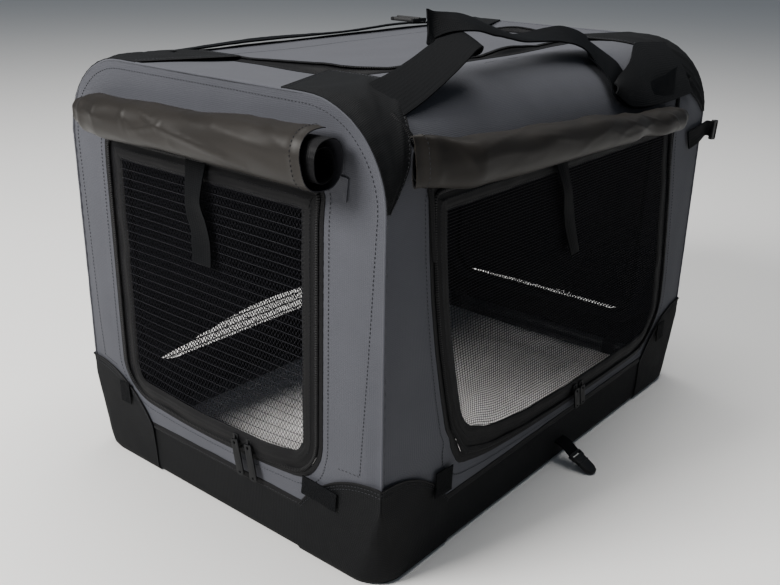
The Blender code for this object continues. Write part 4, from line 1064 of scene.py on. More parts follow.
class MakePiping(CrateOperator, bpy.types.Operator):
    """Make the piping on the seams between the ends and the long sides"""
    bl_idname = "travel_crate.make_piping"
    bl_label = "Piping"

    def execute(self, context):
        for side, name in ((-1, "left"), (1, "right")):
            points, outs = end_seam(side)
            ups = [(out + Vector((side, 0, 0))).normalized() for out in outs]
            path = []
            for spot, up in zip(points, ups):
                wobble = 0.0004 * noise.noise(Vector((spot.y * 40, spot.z * 40, side)))
                path.append(spot + up * (wobble - 0.0002))
            piping = sweep(path, beside(points, ups), ups, ring(sizes().piping))
            add_piece("end_piping_" + name, piping, [grey_oxford], "grey_fabric", folded="cover", angle=60)
        return {"FINISHED"}


def roof_point(x, y):
    """Point of the roof cloth."""
    return Vector((x, y, SHELL_Z + roof_sag(x, y)))


def roof_opening(inset):
    """Outline of the roof's zipped flap, drawn in by an inset."""
    (left, front, _), (right, rear, _) = ROOF_DOOR
    radius, small = TOP_DOOR_RADIUS - inset, max(0.012 - inset, 0.006)
    return rounded_outline((left - 0.001 + inset, front - 0.001 + inset),
                           (right + 0.001 - inset, rear + 0.001 - inset), [radius, radius, small, small])


class MakeRoof(CrateOperator, bpy.types.Operator):
    """Make the roof cloth, its zipped flap and the wavy zip between them"""
    bl_idname = "travel_crate.make_roof"
    bl_label = "Roof"

    def execute(self, context):
        half = SHOULDER_INNER - GAP
        mesh = sheet_mesh(110, 46, lambda u, v: roof_point(WRAP_END * (2 * u - 1), half * (2 * v - 1)),
                          lambda u, v: (2 * WRAP_END * u, 2 * half * v))
        roof = add_piece("roof_cloth", mesh, [grey_oxford, lining_and_painted_shade], "grey_fabric", "roof", ["roof_panel"],
                         thick=(sizes().cloth, -1, True), cutters=[(prism([roof_opening(0)], None),)])

        low, high = ROOF_DOOR
        span_x, span_y = high[0] - low[0] + 0.02, high[1] - low[1] + 0.02
        mesh = sheet_mesh(80, 36,
                          lambda u, v: roof_point(low[0] - 0.01 + span_x * u, low[1] - 0.01 + span_y * v),
                          lambda u, v: (span_x * u, span_y * v))
        flap = add_piece("roof_flap_cloth", mesh, [grey_oxford, lining_and_painted_shade], "grey_fabric", "roof_flap",
                         ["roof_door"], thick=(sizes().cloth, -1, True),
                         cutters=[(prism([roof_opening(0.001)], None), "INTERSECT")])
        self.make_zip()
        return {"FINISHED"}

    def make_zip(self):
        """Zip round three sides of the flap: a tape on the roof, a tape on the flap and the coil."""
        outline = [(x, y, 0) for x, y in roof_opening(0.0005)]
        outline = outline[-1:] + outline[:27]
        rear = ROOF_DOOR[1][1] - 0.016
        spacing = 0.005
        line = [p for p in resample(outline, spacing) if p[1] < rear]
        tape, wave = sizes().zip_tape, sizes().zip_wave
        path, normals, crests = [], [], []
        travelled = 0.0
        for k, p in enumerate(line):
            ahead = heading(line, k)
            travelled += spacing
            swing = noise.noise(Vector((travelled * 9.0, 2.2, 0)))
            fine = noise.noise(Vector((travelled * 26.0, 5.1, 0)))
            crest = wave * max(0.0, 1.5 * swing + 0.12) + 0.0012 * max(0.0, fine)
            ends = min(k, len(line) - 1 - k) / 8
            crests.append(crest * smooth(ends) + 0.0018)
            path.append(roof_point(p.x, p.y))
            normals.append(Vector((ahead.y, -ahead.x, 0)))
        count = len(path)
        for label, sign, body in (("roof", 1, "roof"), ("flap", -1, "roof_flap")):
            def point(u, v):
                k = round(u * (count - 1))
                edge = tape * (1 + 0.15 * noise.noise(Vector((k * 0.11, sign, 0))))
                rise = crests[k] * smooth(1 - v) + 0.0006
                spot = path[k] + normals[k] * sign * (0.0002 + edge * v)
                base = roof_sag(spot.x, spot.y) - roof_sag(path[k].x, path[k].y)
                return spot + Vector((0, 0, rise + base))

            mesh = sheet_mesh(count - 1, 5, point, lambda u, v: (u * count * spacing, v * tape))
            add_piece("roof_zip_tape_" + label, mesh, [grosgrain_tape], body=body, thick=(0.0009, 1))
        spots = [p + Vector((0, 0, c + 0.0022)) for p, c in zip(path, crests)]
        add_piece("roof_zip_coil", sweep(spots, normals, [RISE] * count, ring(0.0024, 6, 0.65)), [nylon_coil],
                  body="roof_flap", angle=60)
        end = spots[-1]
        loop = resample([end + Vector(p) for p in ((0.004, 0.0, 0.003), (0.012, -0.004, 0.0065),
                                                   (0.024, -0.006, 0.006), (0.034, -0.004, 0.0035),
                                                   (0.026, -0.001, 0.0050), (0.013, 0.002, 0.0055))], 0.003, True)
        headings = [heading(loop, k, True) for k in range(len(loop))]
        across = [Vector((ahead.y, -ahead.x, 0)).normalized() for ahead in headings]
        add_piece("roof_zip_pull", sweep(loop, across, [RISE] * len(loop), ring(0.0016, 6), True),
                  [polypropylene_webbing], "webbing", "roof_flap", angle=60)
        body = [end + Vector((x, 0, 0.001)) for x in (-0.007, -0.004, 0.004, 0.007)]
        plate = [(-0.0035, -0.0012), (0.0035, -0.0012), (0.0045, 0.0010), (0.0022, 0.0040), (-0.0022, 0.0040),
                 (-0.0045, 0.0010)]
        add_piece("roof_zip_slider", sweep(body, [Vector((0, 1, 0))] * 4, [RISE] * 4, plate), [painted_zinc],
                  "black_zinc", "roof_flap", angle=None)


def net_place(wall, along, z, lift):
    """Point of a net: in the middle of the wall's cloth, loose by a few millimetres, and lifted."""
    limits = opening_limits(wall)
    seed = 11 + WALLS.index(wall)
    edge = min(along - limits[0][0], limits[1][0] - along, z - limits[0][1], limits[1][1] - z)
    loose = smooth((edge - 0.015) / 0.09)
    bow = 0.0045 * noise.noise(Vector((along * 6, z * 6, seed))) - 0.0010
    if not is_long(wall):
        bow *= 0.8
    plane = (SHELL_Y if is_long(wall) else SHELL_X) - 0.00125 + lift + bow * loose
    drift = 0.0012 * noise.noise(Vector((along * 13, z * 9, seed + 5))) * loose
    if is_long(wall):
        return Vector((along + drift, plane if wall == "rear" else -plane, z))
    return Vector((plane if wall == "right" else -plane, along + drift, z))


class MakeNets(CrateOperator, bpy.types.Operator):
    """Make the mesh doors and windows thread by thread"""
    bl_idname = "travel_crate.make_nets"
    bl_label = "Mesh doors and windows"

    def execute(self, context):
        for wall in WALLS:
            is_door = wall in ("front", "left")
            name = "%s_%s_net" % (wall, "door" if is_door else "window")
            net = self.make_net(wall, name, 0.020 if is_door else 0.006)
            settle(net, wall + "_door" if is_door else "crate_base", [name], "cover")
        return {"FINISHED"}

    def make_net(self, wall, name, inset):
        """Zigzag threads that nearly meet at every row and so leave holes in brick order, and level threads.
        The long door's net is drawn square: straighter threads, and a level one in every row."""
        (left, low), (right, high) = opening_limits(wall)
        radius = (LONG_RADIUS if is_long(wall) else END_RADIUS) - inset
        left, right, low, high = left + inset, right - inset, low + inset, high - inset
        half = sizes().thread / 2 * {"front": 1.15, "left": 1.0, "rear": 2.3, "right": 2.3}[wall]
        square = wall == "front"
        points, faces, flats = [], [], []

        def cut_back(distance):
            reach = max(0.0, radius - distance)
            return radius - math.sqrt(max(0.0, radius ** 2 - reach ** 2))

        def add_thread(path, upright, lift):
            first = len(points)
            for k, (along, z) in enumerate(path):
                for across, out in ((-half, 0.0), (0.0, half), (half, 0.0)):
                    spot = (along + across, z) if upright else (along, z + across)
                    points.append(net_place(wall, *spot, lift + out))
                    flats.append((z if upright else along, across))
            for k in range(len(path) - 1):
                for j in range(3):
                    a, b = first + 3 * k + j, first + 3 * k + (j + 1) % 3
                    faces.append((a, b, b + 3, a + 3))

        columns = round((right - left) / (sizes().mesh_across / (1 if square else 2)))
        zigzag = 0.06 if square else 0.40
        rows = round((high - low) / sizes().mesh_up)
        step, climb = (right - left) / columns, (high - low) / rows
        for k in range(1, columns):
            at = left + step * k
            first = math.ceil(cut_back(min(at - left, right - at)) / climb)
            add_thread([(at + zigzag * step * (-1) ** (k + row), low + climb * row)
                        for row in range(first, rows + 1)], True, 0.0)
        uprights = len(faces)
        for row in range(2, rows, 1 if square else 3):
            back = cut_back(climb * row)
            spans = max(3, round((right - left - 2 * back) / 0.012))
            add_thread([(left + back + (right - left - 2 * back) * k / spans, low + climb * row)
                        for k in range(spans + 1)], False, 0.0007)
        mesh = bpy.data.meshes.new(name)
        mesh.from_pydata(points, [], faces)
        layer = mesh.uv_layers.new(name="cloth")
        for loop in mesh.loops:
            layer.data[loop.index].uv = flats[loop.vertex_index]
        for polygon in mesh.polygons:
            polygon.material_index = int(polygon.index >= uprights)
        weld(mesh)
        net = new_object(name + "_threads", mesh, [knitted_net, glinting_level_thread])
        net.data.shade_smooth()
        return net


class MakeBindings(CrateOperator, bpy.types.Operator):
    """Make the sewn bands and zip coils round the doors and windows"""
    bl_idname = "travel_crate.make_bindings"
    bl_label = "Bindings and door zips"

    def execute(self, context):
        door = [(0.0006, -0.0010), (0.0004, 0.0004), (0.0020, 0.0010), (0.0050, 0.0008), (0.0085, 0.0007),
                (0.0105, 0.0018), (0.0150, 0.0024), (0.0200, 0.0025), (0.0245, 0.0019), (0.0268, 0.0004),
                (0.0262, -0.0012), (0.0180, -0.0017), (0.0080, -0.0014)]
        window = [(-0.0040, -0.0026), (-0.0040, -0.0016), (0.0006, 0.0006), (0.0030, 0.0014), (0.0060, 0.0003),
                  (0.0050, -0.0014), (0.0000, -0.0030)]
        for wall, body in (("front", "front_door"), ("left", "left_door"), ("rear", "crate_base"),
                           ("right", "crate_base")):
            is_door = body != "crate_base"
            self.make_band(wall, body, door if is_door else window)
            if is_door:
                self.make_coil(wall, body)
                self.make_wall_tape(wall)
        return {"FINISHED"}

    def outline(self, wall, inset=0.0, spacing=0.006):
        """Places round an opening, along the wall and up, with the direction into it in the crate's axes."""
        places = resample([(a, b, 0) for a, b in opening_outline(wall, inset)], spacing, True)
        inwards = []
        for k in range(len(places)):
            ahead = heading(places, k, True)
            inwards.append(Vector((-ahead.y, 0, ahead.x) if is_long(wall) else (0, -ahead.y, ahead.x)))
        return places, inwards

    def make_band(self, wall, body, profile):
        """Bound edge of a net."""
        places, inwards = self.outline(wall, 0.001)
        low = opening_limits(wall)[0][1]
        path, sides, ups = [], [], []
        for p, inward in zip(places, inwards):
            flare = math.exp(-((p.y - low) / 0.020) ** 2) * (0.0030 if body == "left_door" else 0.0012)
            flare *= 1 + 0.8 * noise.noise(Vector((p.x * 16, 3, 0)))
            path.append(net_place(wall, p.x, p.y, max(0.0, flare)))
            sides.append(inward * (1 + 0.05 * noise.noise(Vector((p.x * 24, p.y * 24, 8)))))
            ups.append(outward(wall) * (1 + 0.45 * noise.noise(Vector((p.x * 33, p.y * 33, 2)))))
        add_piece("binding_" + wall, sweep(path, sides, ups, profile, True), [grosgrain_tape], body=body,
                  folded="cover", angle=50)
        if body == "crate_base":
            return
        for inset in (0.0125, 0.0238):
            places, _ = self.outline(wall, 0.001 + inset, stitch_pitch())
            points = [net_place(wall, p.x, p.y, 0.0026) for p in places]
            add_stitches(body, "cover", points, [outward(wall)] * len(points), True)

    def make_coil(self, wall, body):
        """Zip coil along the door's edge."""
        places, inwards = self.outline(wall, 0.0024)
        path = [net_place(wall, p.x, p.y, 0.0036) for p in places]
        coil = sweep(path, inwards, [outward(wall)] * len(path), ring(0.0026, 6, 0.55), True)
        add_piece("zip_coil_" + wall, coil, [nylon_coil], body=body, folded="cover", angle=60)

    def make_wall_tape(self, wall):
        """The zip's other tape, sewn to the wall round the opening and on up above the roll."""
        places, inwards = self.outline(wall, 0.0)
        profile = [(0.0, 0.0002), (0.0, 0.0012), (-0.0030, 0.0014), (-0.0058, 0.0010), (-0.0060, 0.0002)]
        path = [on_cover(wall, p.x, p.y, 0.0) for p in places]
        tape = sweep(path, inwards, [outward(wall)] * len(path), profile, True)
        add_piece("wall_zip_tape_" + wall, tape, [grosgrain_tape], folded="cover")
        if wall != "front":
            return
        strip = [(-0.0045, 0.0), (-0.0040, 0.0014), (0.0, 0.0030), (0.0040, 0.0014), (0.0045, 0.0)]
        for side, label in ((-1, "left"), (1, "right")):
            marks = resample([(side * 0.319, 0.400, 0), (side * 0.323, 0.470, 0), (side * 0.330, 0.520, 0),
                              (side * 0.340, 0.572, 0)], 0.006)
            path = [on_cover(wall, p.x, p.y, 0.0010) for p in marks]
            ups = [facing(wall, p.y) for p in marks]
            add_piece("flap_edge_" + label, sweep(path, beside(path, ups), ups, strip), [grosgrain_tape],
                      folded="cover")


class MakeRolledFlaps(CrateOperator, bpy.types.Operator):
    """Wind the door flaps into loose rolls with creased faces and open ends"""
    bl_idname = "travel_crate.make_rolled_flaps"
    bl_label = "Rolled flaps"

    def execute(self, context):
        self.make_roll("left", -0.206, 0.232,
                       [(0, 0.0335, 0.0290), (0.25, 0.0305, 0.0285), (0.5, 0.0262, 0.0270),
                        (0.8, 0.0268, 0.0260), (0.89, 0.0250, 0.0230), (0.95, 0.018, 0.018), (1, 0.007, 0.010)],
                       [(0, 0.5195), (0.25, 0.5180), (0.5, 0.5150), (0.8, 0.5120), (1, 0.5120)], 0.016,
                       [(0.020, 0.37, -0.125, -0.50, 0.0056), (0.092, 1.10, 0.084, -0.25, 0.0014),
                        (0.150, 0.95, 0.148, -0.40, 0.0013), (0.020, 0.37, 0.062, 0.90, 0.0028),
                        (0.020, 0.37, 0.072, -0.10, 0.0042), (-0.060, 0.80, -0.170, 0.30, 0.0020),
                        (-0.100, 1.30, -0.150, 0.95, 0.0018), (0.190, 0.60, 0.120, 0.20, 0.0018)])
        self.make_roll("front", -0.371, 0.262,
                       [(0, 0.0290, 0.0050), (0.04, 0.0290, 0.0130), (0.12, 0.0278, 0.0245),
                        (0.3, 0.0258, 0.0250), (0.53, 0.0228, 0.0245), (0.69, 0.0195, 0.0235),
                        (0.77, 0.0155, 0.0205), (0.85, 0.0180, 0.0240), (0.93, 0.0175, 0.0225),
                        (1, 0.0120, 0.0150)],
                       [(0, 0.5180), (0.12, 0.5100), (0.3, 0.5045), (0.53, 0.4990), (0.71, 0.4925),
                        (0.84, 0.4865), (1, 0.4820)], -0.010,
                       [(-0.330, 1.20, -0.300, -0.60, 0.0022), (-0.200, 0.90, -0.090, 0.20, 0.0020),
                        (0.040, 0.80, 0.110, -0.30, 0.0026), (0.090, 1.30, 0.150, 0.20, 0.0024),
                        (0.170, 0.90, 0.200, -0.50, 0.0030), (0.210, 1.20, 0.270, 0.10, 0.0026),
                        (-0.020, 0.30, 0.060, -0.60, 0.0018)])
        return {"FINISHED"}

    def make_roll(self, wall, start, end, radii, heights, inner_reach, creases):
        """Spiral sheet along a wall: radii up and out, and heights, are given along it, creases one by one."""
        first_angle, turns = math.radians(118), 2.35
        wound_length = 0.36
        length = end - start
        seed = 3.1 if wall == "left" else 8.4

        def crease_height(at, angle):
            height = 0.0
            for a, turn_a, b, turn_b, tall in creases:
                p, q = Vector((at, angle * 0.03)), Vector((a, turn_a * 0.03))
                run = Vector((b, turn_b * 0.03)) - q
                share = min(1.0, max(0.0, (p - q).dot(run) / run.length_squared))
                gap = (p - q - run * share).length
                above = 1.0 if run.cross(p - q) > 0 else 0.65
                ends = 0.4 if tall > 0.0025 else 0.0
                taper = ends + (1 - ends) * math.sin(math.pi * share)
                height += tall * max(0.0, 1 - gap / (0.0075 * above)) * taper
            return height

        def point(u, v):
            angle = first_angle - 2 * math.pi * turns * v
            depth = 1 - 0.64 * v
            outer = 1 - smooth(v * 3.2)
            loose = 0.003 * smooth(v * 3) * (0.5 + noise.noise(Vector((v * 4, 2, 7)))) * 0.4
            open_end = inner_reach * (smooth(v * 2.4) - 0.5 * smooth((v - 0.55) * 3)) * (1 - smooth(u * 9))
            at = start + length * u - open_end
            rise, out = between(radii, u)
            centre = between(heights, u)[0]
            slant = at * 9 - angle * 0.55
            ridge = 1 - abs(noise.noise(Vector((slant * 1.5, angle * 0.9, seed)))) * 3.0
            dent = noise.noise(Vector((at * 15, angle * 1.2, seed + 6)))
            wrinkle = 0.0011 * max(ridge, 0) ** 2 + 0.0013 * dent
            wrinkle = wrinkle * (0.25 + 0.75 * outer) + crease_height(at, angle) * outer
            hem = 0.0010 * math.exp(-((u * length - 0.011) / 0.004) ** 2) * outer
            sin, cos = math.sin(angle), math.cos(angle)
            square = 1 / max(abs(sin) ** 2.5 + abs(cos) ** 2.5, 1e-6) ** (1 / 2.5)
            side = (out * depth + wrinkle * 0.8 + hem + loose) * square * cos
            lift = max(out + 0.003 + side, 0.0012)
            z = centre + (rise * depth + wrinkle + hem + loose) * square * sin
            if wall == "left":
                return Vector((-(SHELL_X + lift), at, z))
            return Vector((at, -(SHELL_Y + lift), z))

        mesh = sheet_mesh(216, 124, point, lambda u, v: (length * u, wound_length * v))
        # The sheet's inward face would be the flap's grey outer cloth; it takes the dark lining, which paints the
        # shade in the roll's hollow.
        makes = [coated_satin, lining_and_painted_shade] if wall == "left" else [lining_and_painted_shade, coated_satin]
        roll = new_object(wall + "_rolled_flap", mesh, makes + [grosgrain_tape])
        thicken(roll, 0.0011, 0, True)
        bake(roll)
        # Inner turns near the ends take the black binding tape: partly the flap's bound hem, partly painted shade
        # in the roll's open ends.
        laid = roll.data.uv_layers.active.data
        for polygon in roll.data.polygons:
            at, wound = laid[polygon.loop_start].uv
            if wound > 0.150 and min(at, length - at) < 0.022:
                polygon.material_index = 2
        shade(roll, 60)
        settle(roll, "crate_base", [wall + "_flap_roll"], "roll")
        row, outs = [], []
        for k in range(61):
            wound = 0.36 * k / 60
            angle = first_angle - 2 * math.pi * turns * wound
            outs.append(outward(wall) * math.cos(angle) + RISE * math.sin(angle))
            row.append(point(0.012 / length, wound) + outs[-1] * 0.0009)
        add_stitches("crate_base", "roll", row, outs)


class MakeHangingFlaps(CrateOperator, bpy.types.Operator):
    """Hang the window flaps down over the rear and right nets, bowed up at their feet"""
    bl_idname = "travel_crate.make_hanging_flaps"
    bl_label = "Hanging window flaps"
    # Height of the flap's foot along the wall: it rides up off the window where it has been rolled before
    hems = {"rear": [(-0.336, 0.086), (-0.297, 0.090), (-0.240, 0.100), (-0.190, 0.111), (-0.140, 0.119),
                     (-0.080, 0.124), (-0.020, 0.127), (0.030, 0.126), (0.100, 0.119), (0.180, 0.106),
                     (0.250, 0.095), (0.336, 0.087)],
            "right": [(-0.209, 0.086), (-0.185, 0.0905), (-0.150, 0.0960), (-0.100, 0.0975), (-0.050, 0.0990),
                      (0.000, 0.0955), (0.050, 0.0985), (0.100, 0.0950), (0.150, 0.0925), (0.180, 0.0885),
                      (0.209, 0.086)]}

    def execute(self, context):
        for wall, node, body, folds in (("rear", "rear_window_flap", "rear_flap", 4),
                                        ("right", "right_window_flap", "right_flap", 3)):
            low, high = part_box(node)
            axis = 0 if wall == "rear" else 1
            half, plane = high[axis], low[1 - axis]
            foot, top = low[2], high[2]
            radius = LONG_RADIUS if wall == "rear" else END_RADIUS
            hem = self.hems[wall]

            def point(u, v):
                along = turned(wall) * half * (2 * u - 1)
                corner = max(0.0, abs(along) - (half - radius))
                lowest = radius - math.sqrt(max(0.0, radius ** 2 - corner ** 2)) + between(hem, along)[0]
                wave = (1 - math.cos(2 * math.pi * folds * u + 0.9 * math.sin(5 * u))) / 2
                fine = 0.5 + 0.5 * noise.noise(Vector((along * 18, v * 4, 6 + axis)))
                lift = (0.0042 * wave + 0.0022 * fine) * (1 - v)
                z = lowest + (top - lowest) * v
                out = plane + 0.0024 + lift
                return Vector((along, out, z)) if wall == "rear" else Vector((out, along, z))

            mesh = sheet_mesh(88, 52, point, lambda u, v: (2 * half * u, (top - foot) * v))
            flap = add_piece(node + "_cloth", mesh, [grey_oxford, lining_and_painted_shade], "grey_fabric", body, [node],
                             "hung", thick=(0.0022, -1, True))
            edge = [point(0.0, 1 - k / 40) for k in range(40)] + [point(k / 90, 0.0) for k in range(91)]
            edge += [point(1.0, k / 40) for k in range(1, 41)]
            path = [p + outward(wall) * 0.0012 for p in resample(edge, 0.007)]
            ups = [outward(wall)] * len(path)
            tape = [(-0.0015, -0.0025), (-0.0015, 0.0012), (0.004, 0.0016), (0.009, 0.0012), (0.009, 0.0001)]
            binding = sweep(path, [-side for side in beside(path, ups)], ups, tape)
            add_piece(node + "_binding", binding, [grosgrain_tape], body=body, folded="hung")
        return {"FINISHED"}


class MakeCornerPatches(CrateOperator, bpy.types.Operator):
    """Make the black patches over the upper corners, from a tip on the side to the roof"""
    bl_idname = "travel_crate.make_corner_patches"
    bl_label = "Corner patches"

    def execute(self, context):
        for side, face, wall, label in CORNERS:
            self.make_patch(side, face, wall, label)
        return {"FINISHED"}

    def make_patch(self, side, face, wall, label):
        """One patch with its turned edge and double row of stitches."""
        # Width of the patch at distances from its tip, and how high on the wall the tip lies
        widths = [(0.0, 0.004), (0.02, 0.022), (0.042, 0.046), (0.070, 0.062), (0.100, 0.079), (0.130, 0.104),
                  (0.160, 0.122), (0.200, 0.127), (0.270, 0.127)]
        start = 0.470

        def place(u, v, lift=0.0):
            end = QUARTER - 0.004 + 0.034 + 0.049 * u
            distance = end * v
            width = float(numpy.interp(distance, *zip(*widths)))
            along = side * (SHELL_X + 0.0008 - width * u)
            climb = start + distance
            seed = 5 * side + face
            crease = 1 - 2.2 * abs(noise.noise(Vector((u * 2.3 - distance * 9, distance * 7, seed))))
            rough = 0.0032 * max(crease, 0) ** 2 + 0.0010 * noise.noise(Vector((u * 6, distance * 40, seed)))
            border = min(u * width, (1 - u) * width, end - distance, distance * 0.7)
            lift += max(0.0, rough) * smooth(border / 0.02) + 0.0006
            base = max(0.0, swell(wall, along, min(climb, CLIMB_TOP)))
            y, z = section(climb, base + lift)
            if climb > CLIMB_TOP:
                z = SHELL_Z + max(0.0, roof_sag(along, y)) + lift + 0.0004
            return Vector((along, face * y, z))

        mesh = sheet_mesh(24, 56, place, lambda u, v: (u * 0.12, v * 0.25))
        patch = add_piece("patch_" + label, mesh, [black_oxford], replaces=["roof_patch_" + label],
                          folded="cover", thick=(0.0016, 1 if side == face else -1))
        edge = [place(1.0, k / 60) for k in range(61)] + [place(1 - k / 16, 1.0) for k in range(1, 17)]
        inner = [place(0.96, 0.04 + 0.93 * k / 60, 0.0018) for k in range(61)]
        inner += [place(0.96 - 0.93 * k / 16, 0.972, 0.0018) for k in range(1, 17)]

        def normal(spot):
            return Vector((0, face * max(0.0, abs(spot.y) - SHOULDER_INNER), max(0.0, spot.z - SHOULDER_FOOT))
                          ).normalized()

        path = [p + normal(p) * 0.0010 for p in resample(edge, 0.005)]
        ups = [normal(p) for p in path]
        welt = sweep(path, beside(path, ups), ups, ring(0.0014, 6, 0.8))
        add_piece("patch_edge_" + label, welt, [grosgrain_tape], folded="cover", angle=60)
        row = resample(inner, stitch_pitch())
        add_stitches("crate_base", "cover", row, [normal(p) for p in row])


class MakeCarryHandles(CrateOperator, bpy.types.Operator):
    """Lay the slack carry handles: the front one doubled back on itself, the rear one nearly flat"""
    bl_idname = "travel_crate.make_carry_handles"
    bl_label = "Carry handles"

    def execute(self, context):
        near = [((-0.326, -0.234, 0.5545), (-0.322, -0.180, 0.5810)),
                ((-0.290, -0.2335, 0.5660), (-0.280, -0.180, 0.5905)),
                ((-0.250, -0.232, 0.5820), (-0.236, -0.180, 0.6050)),
                ((-0.214, -0.231, 0.5990), (-0.198, -0.180, 0.6200)),
                ((-0.190, -0.230, 0.6110), (-0.169, -0.179, 0.6280)),
                ((-0.177, -0.229, 0.6130), (-0.156, -0.178, 0.6260)),
                ((-0.176, -0.224, 0.6050), (-0.156, -0.173, 0.6190)),
                ((-0.186, -0.212, 0.6020), (-0.168, -0.166, 0.6200)),
                ((-0.200, -0.193, 0.6070), (-0.184, -0.160, 0.6340)),
                ((-0.212, -0.182, 0.6130), (-0.198, -0.164, 0.6500)),
                ((-0.216, -0.178, 0.6148), (-0.197, -0.162, 0.6515)),
                ((-0.207, -0.177, 0.6180), (-0.184, -0.160, 0.6480)),
                ((-0.184, -0.186, 0.6260), (-0.168, -0.160, 0.6460)),
                ((-0.150, -0.201, 0.6268), (-0.145, -0.160, 0.6440)),
                ((-0.120, -0.205, 0.6200), (-0.120, -0.162, 0.6400)),
                ((-0.090, -0.205, 0.6147), (-0.090, -0.163, 0.6310)),
                ((-0.050, -0.204, 0.6070), (-0.050, -0.161, 0.6190)),
                ((-0.010, -0.203, 0.6037), (-0.010, -0.158, 0.6090)),
                ((0.030, -0.203, 0.6010), (0.032, -0.157, 0.6080)),
                ((0.062, -0.208, 0.5965), (0.070, -0.160, 0.6110)),
                ((0.086, -0.213, 0.5900), (0.108, -0.165, 0.6120)),
                ((0.096, -0.221, 0.5810), (0.140, -0.172, 0.6050)),
                ((0.098, -0.229, 0.5735), (0.156, -0.180, 0.5970))]
        lay_ribbon("front_carry_handle", near, sizes().webbing, 6, 0.0012, slot="webbing",
                   body="front_carry_handle", replaces=["front_handle"])
        tail = [((0.096, -0.2200, 0.5770), (0.146, -0.1740, 0.5985)),
                ((0.0985, -0.2310, 0.5685), (0.158, -0.1880, 0.5880)),
                ((0.0985, -0.2450, 0.5580), (0.163, -0.2080, 0.5755)),
                ((0.0940, -0.2570, 0.5465), (0.162, -0.2280, 0.5650)),
                ((0.0930, -0.2650, 0.5330), (0.160, -0.2420, 0.5530)),
                ((0.1030, -0.2690, 0.5230), (0.164, -0.2530, 0.5430)),
                ((0.1260, -0.2730, 0.5120), (0.176, -0.2600, 0.5380)),
                ((0.1560, -0.2760, 0.5060), (0.196, -0.2640, 0.5360)),
                ((0.1920, -0.2775, 0.5045), (0.228, -0.2650, 0.5380)),
                ((0.2400, -0.2775, 0.5050), (0.264, -0.2640, 0.5420)),
                ((0.2900, -0.2755, 0.5080), (0.304, -0.2600, 0.5480))]
        lay_ribbon("front_handle_tail", tail, sizes().webbing, 6, 0.0020, slot="webbing", folded="cover")
        fold = [((0.0960, -0.2670, 0.5330), (0.0985, -0.2610, 0.5450)),
                ((0.1120, -0.2720, 0.5220), (0.1180, -0.2570, 0.5530)),
                ((0.1340, -0.2765, 0.5120), (0.1460, -0.2520, 0.5600)),
                ((0.1680, -0.2800, 0.5080), (0.1760, -0.2440, 0.5680)),
                ((0.2080, -0.2810, 0.5060), (0.2080, -0.2300, 0.5760)),
                ((0.2520, -0.2805, 0.5050), (0.2420, -0.2170, 0.5830)),
                ((0.2980, -0.2785, 0.5050), (0.2900, -0.2150, 0.5800)),
                ((0.3560, -0.2750, 0.5060), (0.3500, -0.2150, 0.5760))]
        lay_ribbon("front_handle_fold", fold, sizes().webbing, 6, 0.0050, black_oxford, folded="cover")
        flat = []
        for x, rise, tilt in ((-0.318, 0.0, 0), (-0.27, 0.001, 0), (-0.20, 0.003, 1), (-0.12, 0.004, 3),
                              (-0.04, 0.003, 2), (0.04, 0.002, -1), (0.12, 0.004, -2), (0.19, 0.005, 1),
                              (0.26, 0.002, 1), (0.318, 0.0, 0)):
            lean, half, level = math.radians(tilt), 0.025, 0.5816
            drift = 0.180 + 0.10 * rise
            low = Vector((x, drift - half * math.cos(lean), level + rise - half * math.sin(lean)))
            high = Vector((x, drift + half * math.cos(lean), level + rise * 0.5 + half * math.sin(lean)))
            drop = SHOULDER_RADIUS - math.sqrt(SHOULDER_RADIUS ** 2 - max(0.0, high.y - SHOULDER_INNER) ** 2)
            high.z -= drop * (1 - min(1.0, rise / 0.012)) * 0.8
            flat.append((low, high))
        lay_ribbon("rear_carry_handle", flat, sizes().webbing, 7, 0.0008, slot="webbing",
                   body="rear_carry_handle", replaces=["rear_handle"])
        self.make_glide()
        return {"FINISHED"}

    def make_glide(self):
        """Ladder glide on the rear handle, standing up from the strap."""
        bars = []
        for x, tall in ((0.188, 0.0060), (0.202, 0.0075), (0.216, 0.0055)):
            path = [Vector((x, y, 0.5865)) for y in (0.158, 0.170, 0.184, 0.198, 0.206)]
            profile = [(-0.0022, 0.0), (0.0022, 0.0), (0.0026, tall * 0.6), (0.0010, tall), (-0.0012, tall),
                       (-0.0026, tall * 0.5)]
            bars.append(sweep(path, [Vector((1, 0, 0))] * 5, [RISE] * 5, profile))
        for y in (0.160, 0.204):
            path = [Vector((x, y, 0.5870)) for x in (0.184, 0.194, 0.202, 0.210, 0.220)]
            bars.append(sweep(path, [Vector((0, 1, 0))] * 5, [RISE] * 5,
                              [(-0.0022, 0), (0.0022, 0), (0.0022, 0.005), (-0.0022, 0.005)]))
        add_piece("rear_handle_glide", merge_meshes(bars), [moulded_acetal], "black_plastic",
                  "rear_carry_handle")


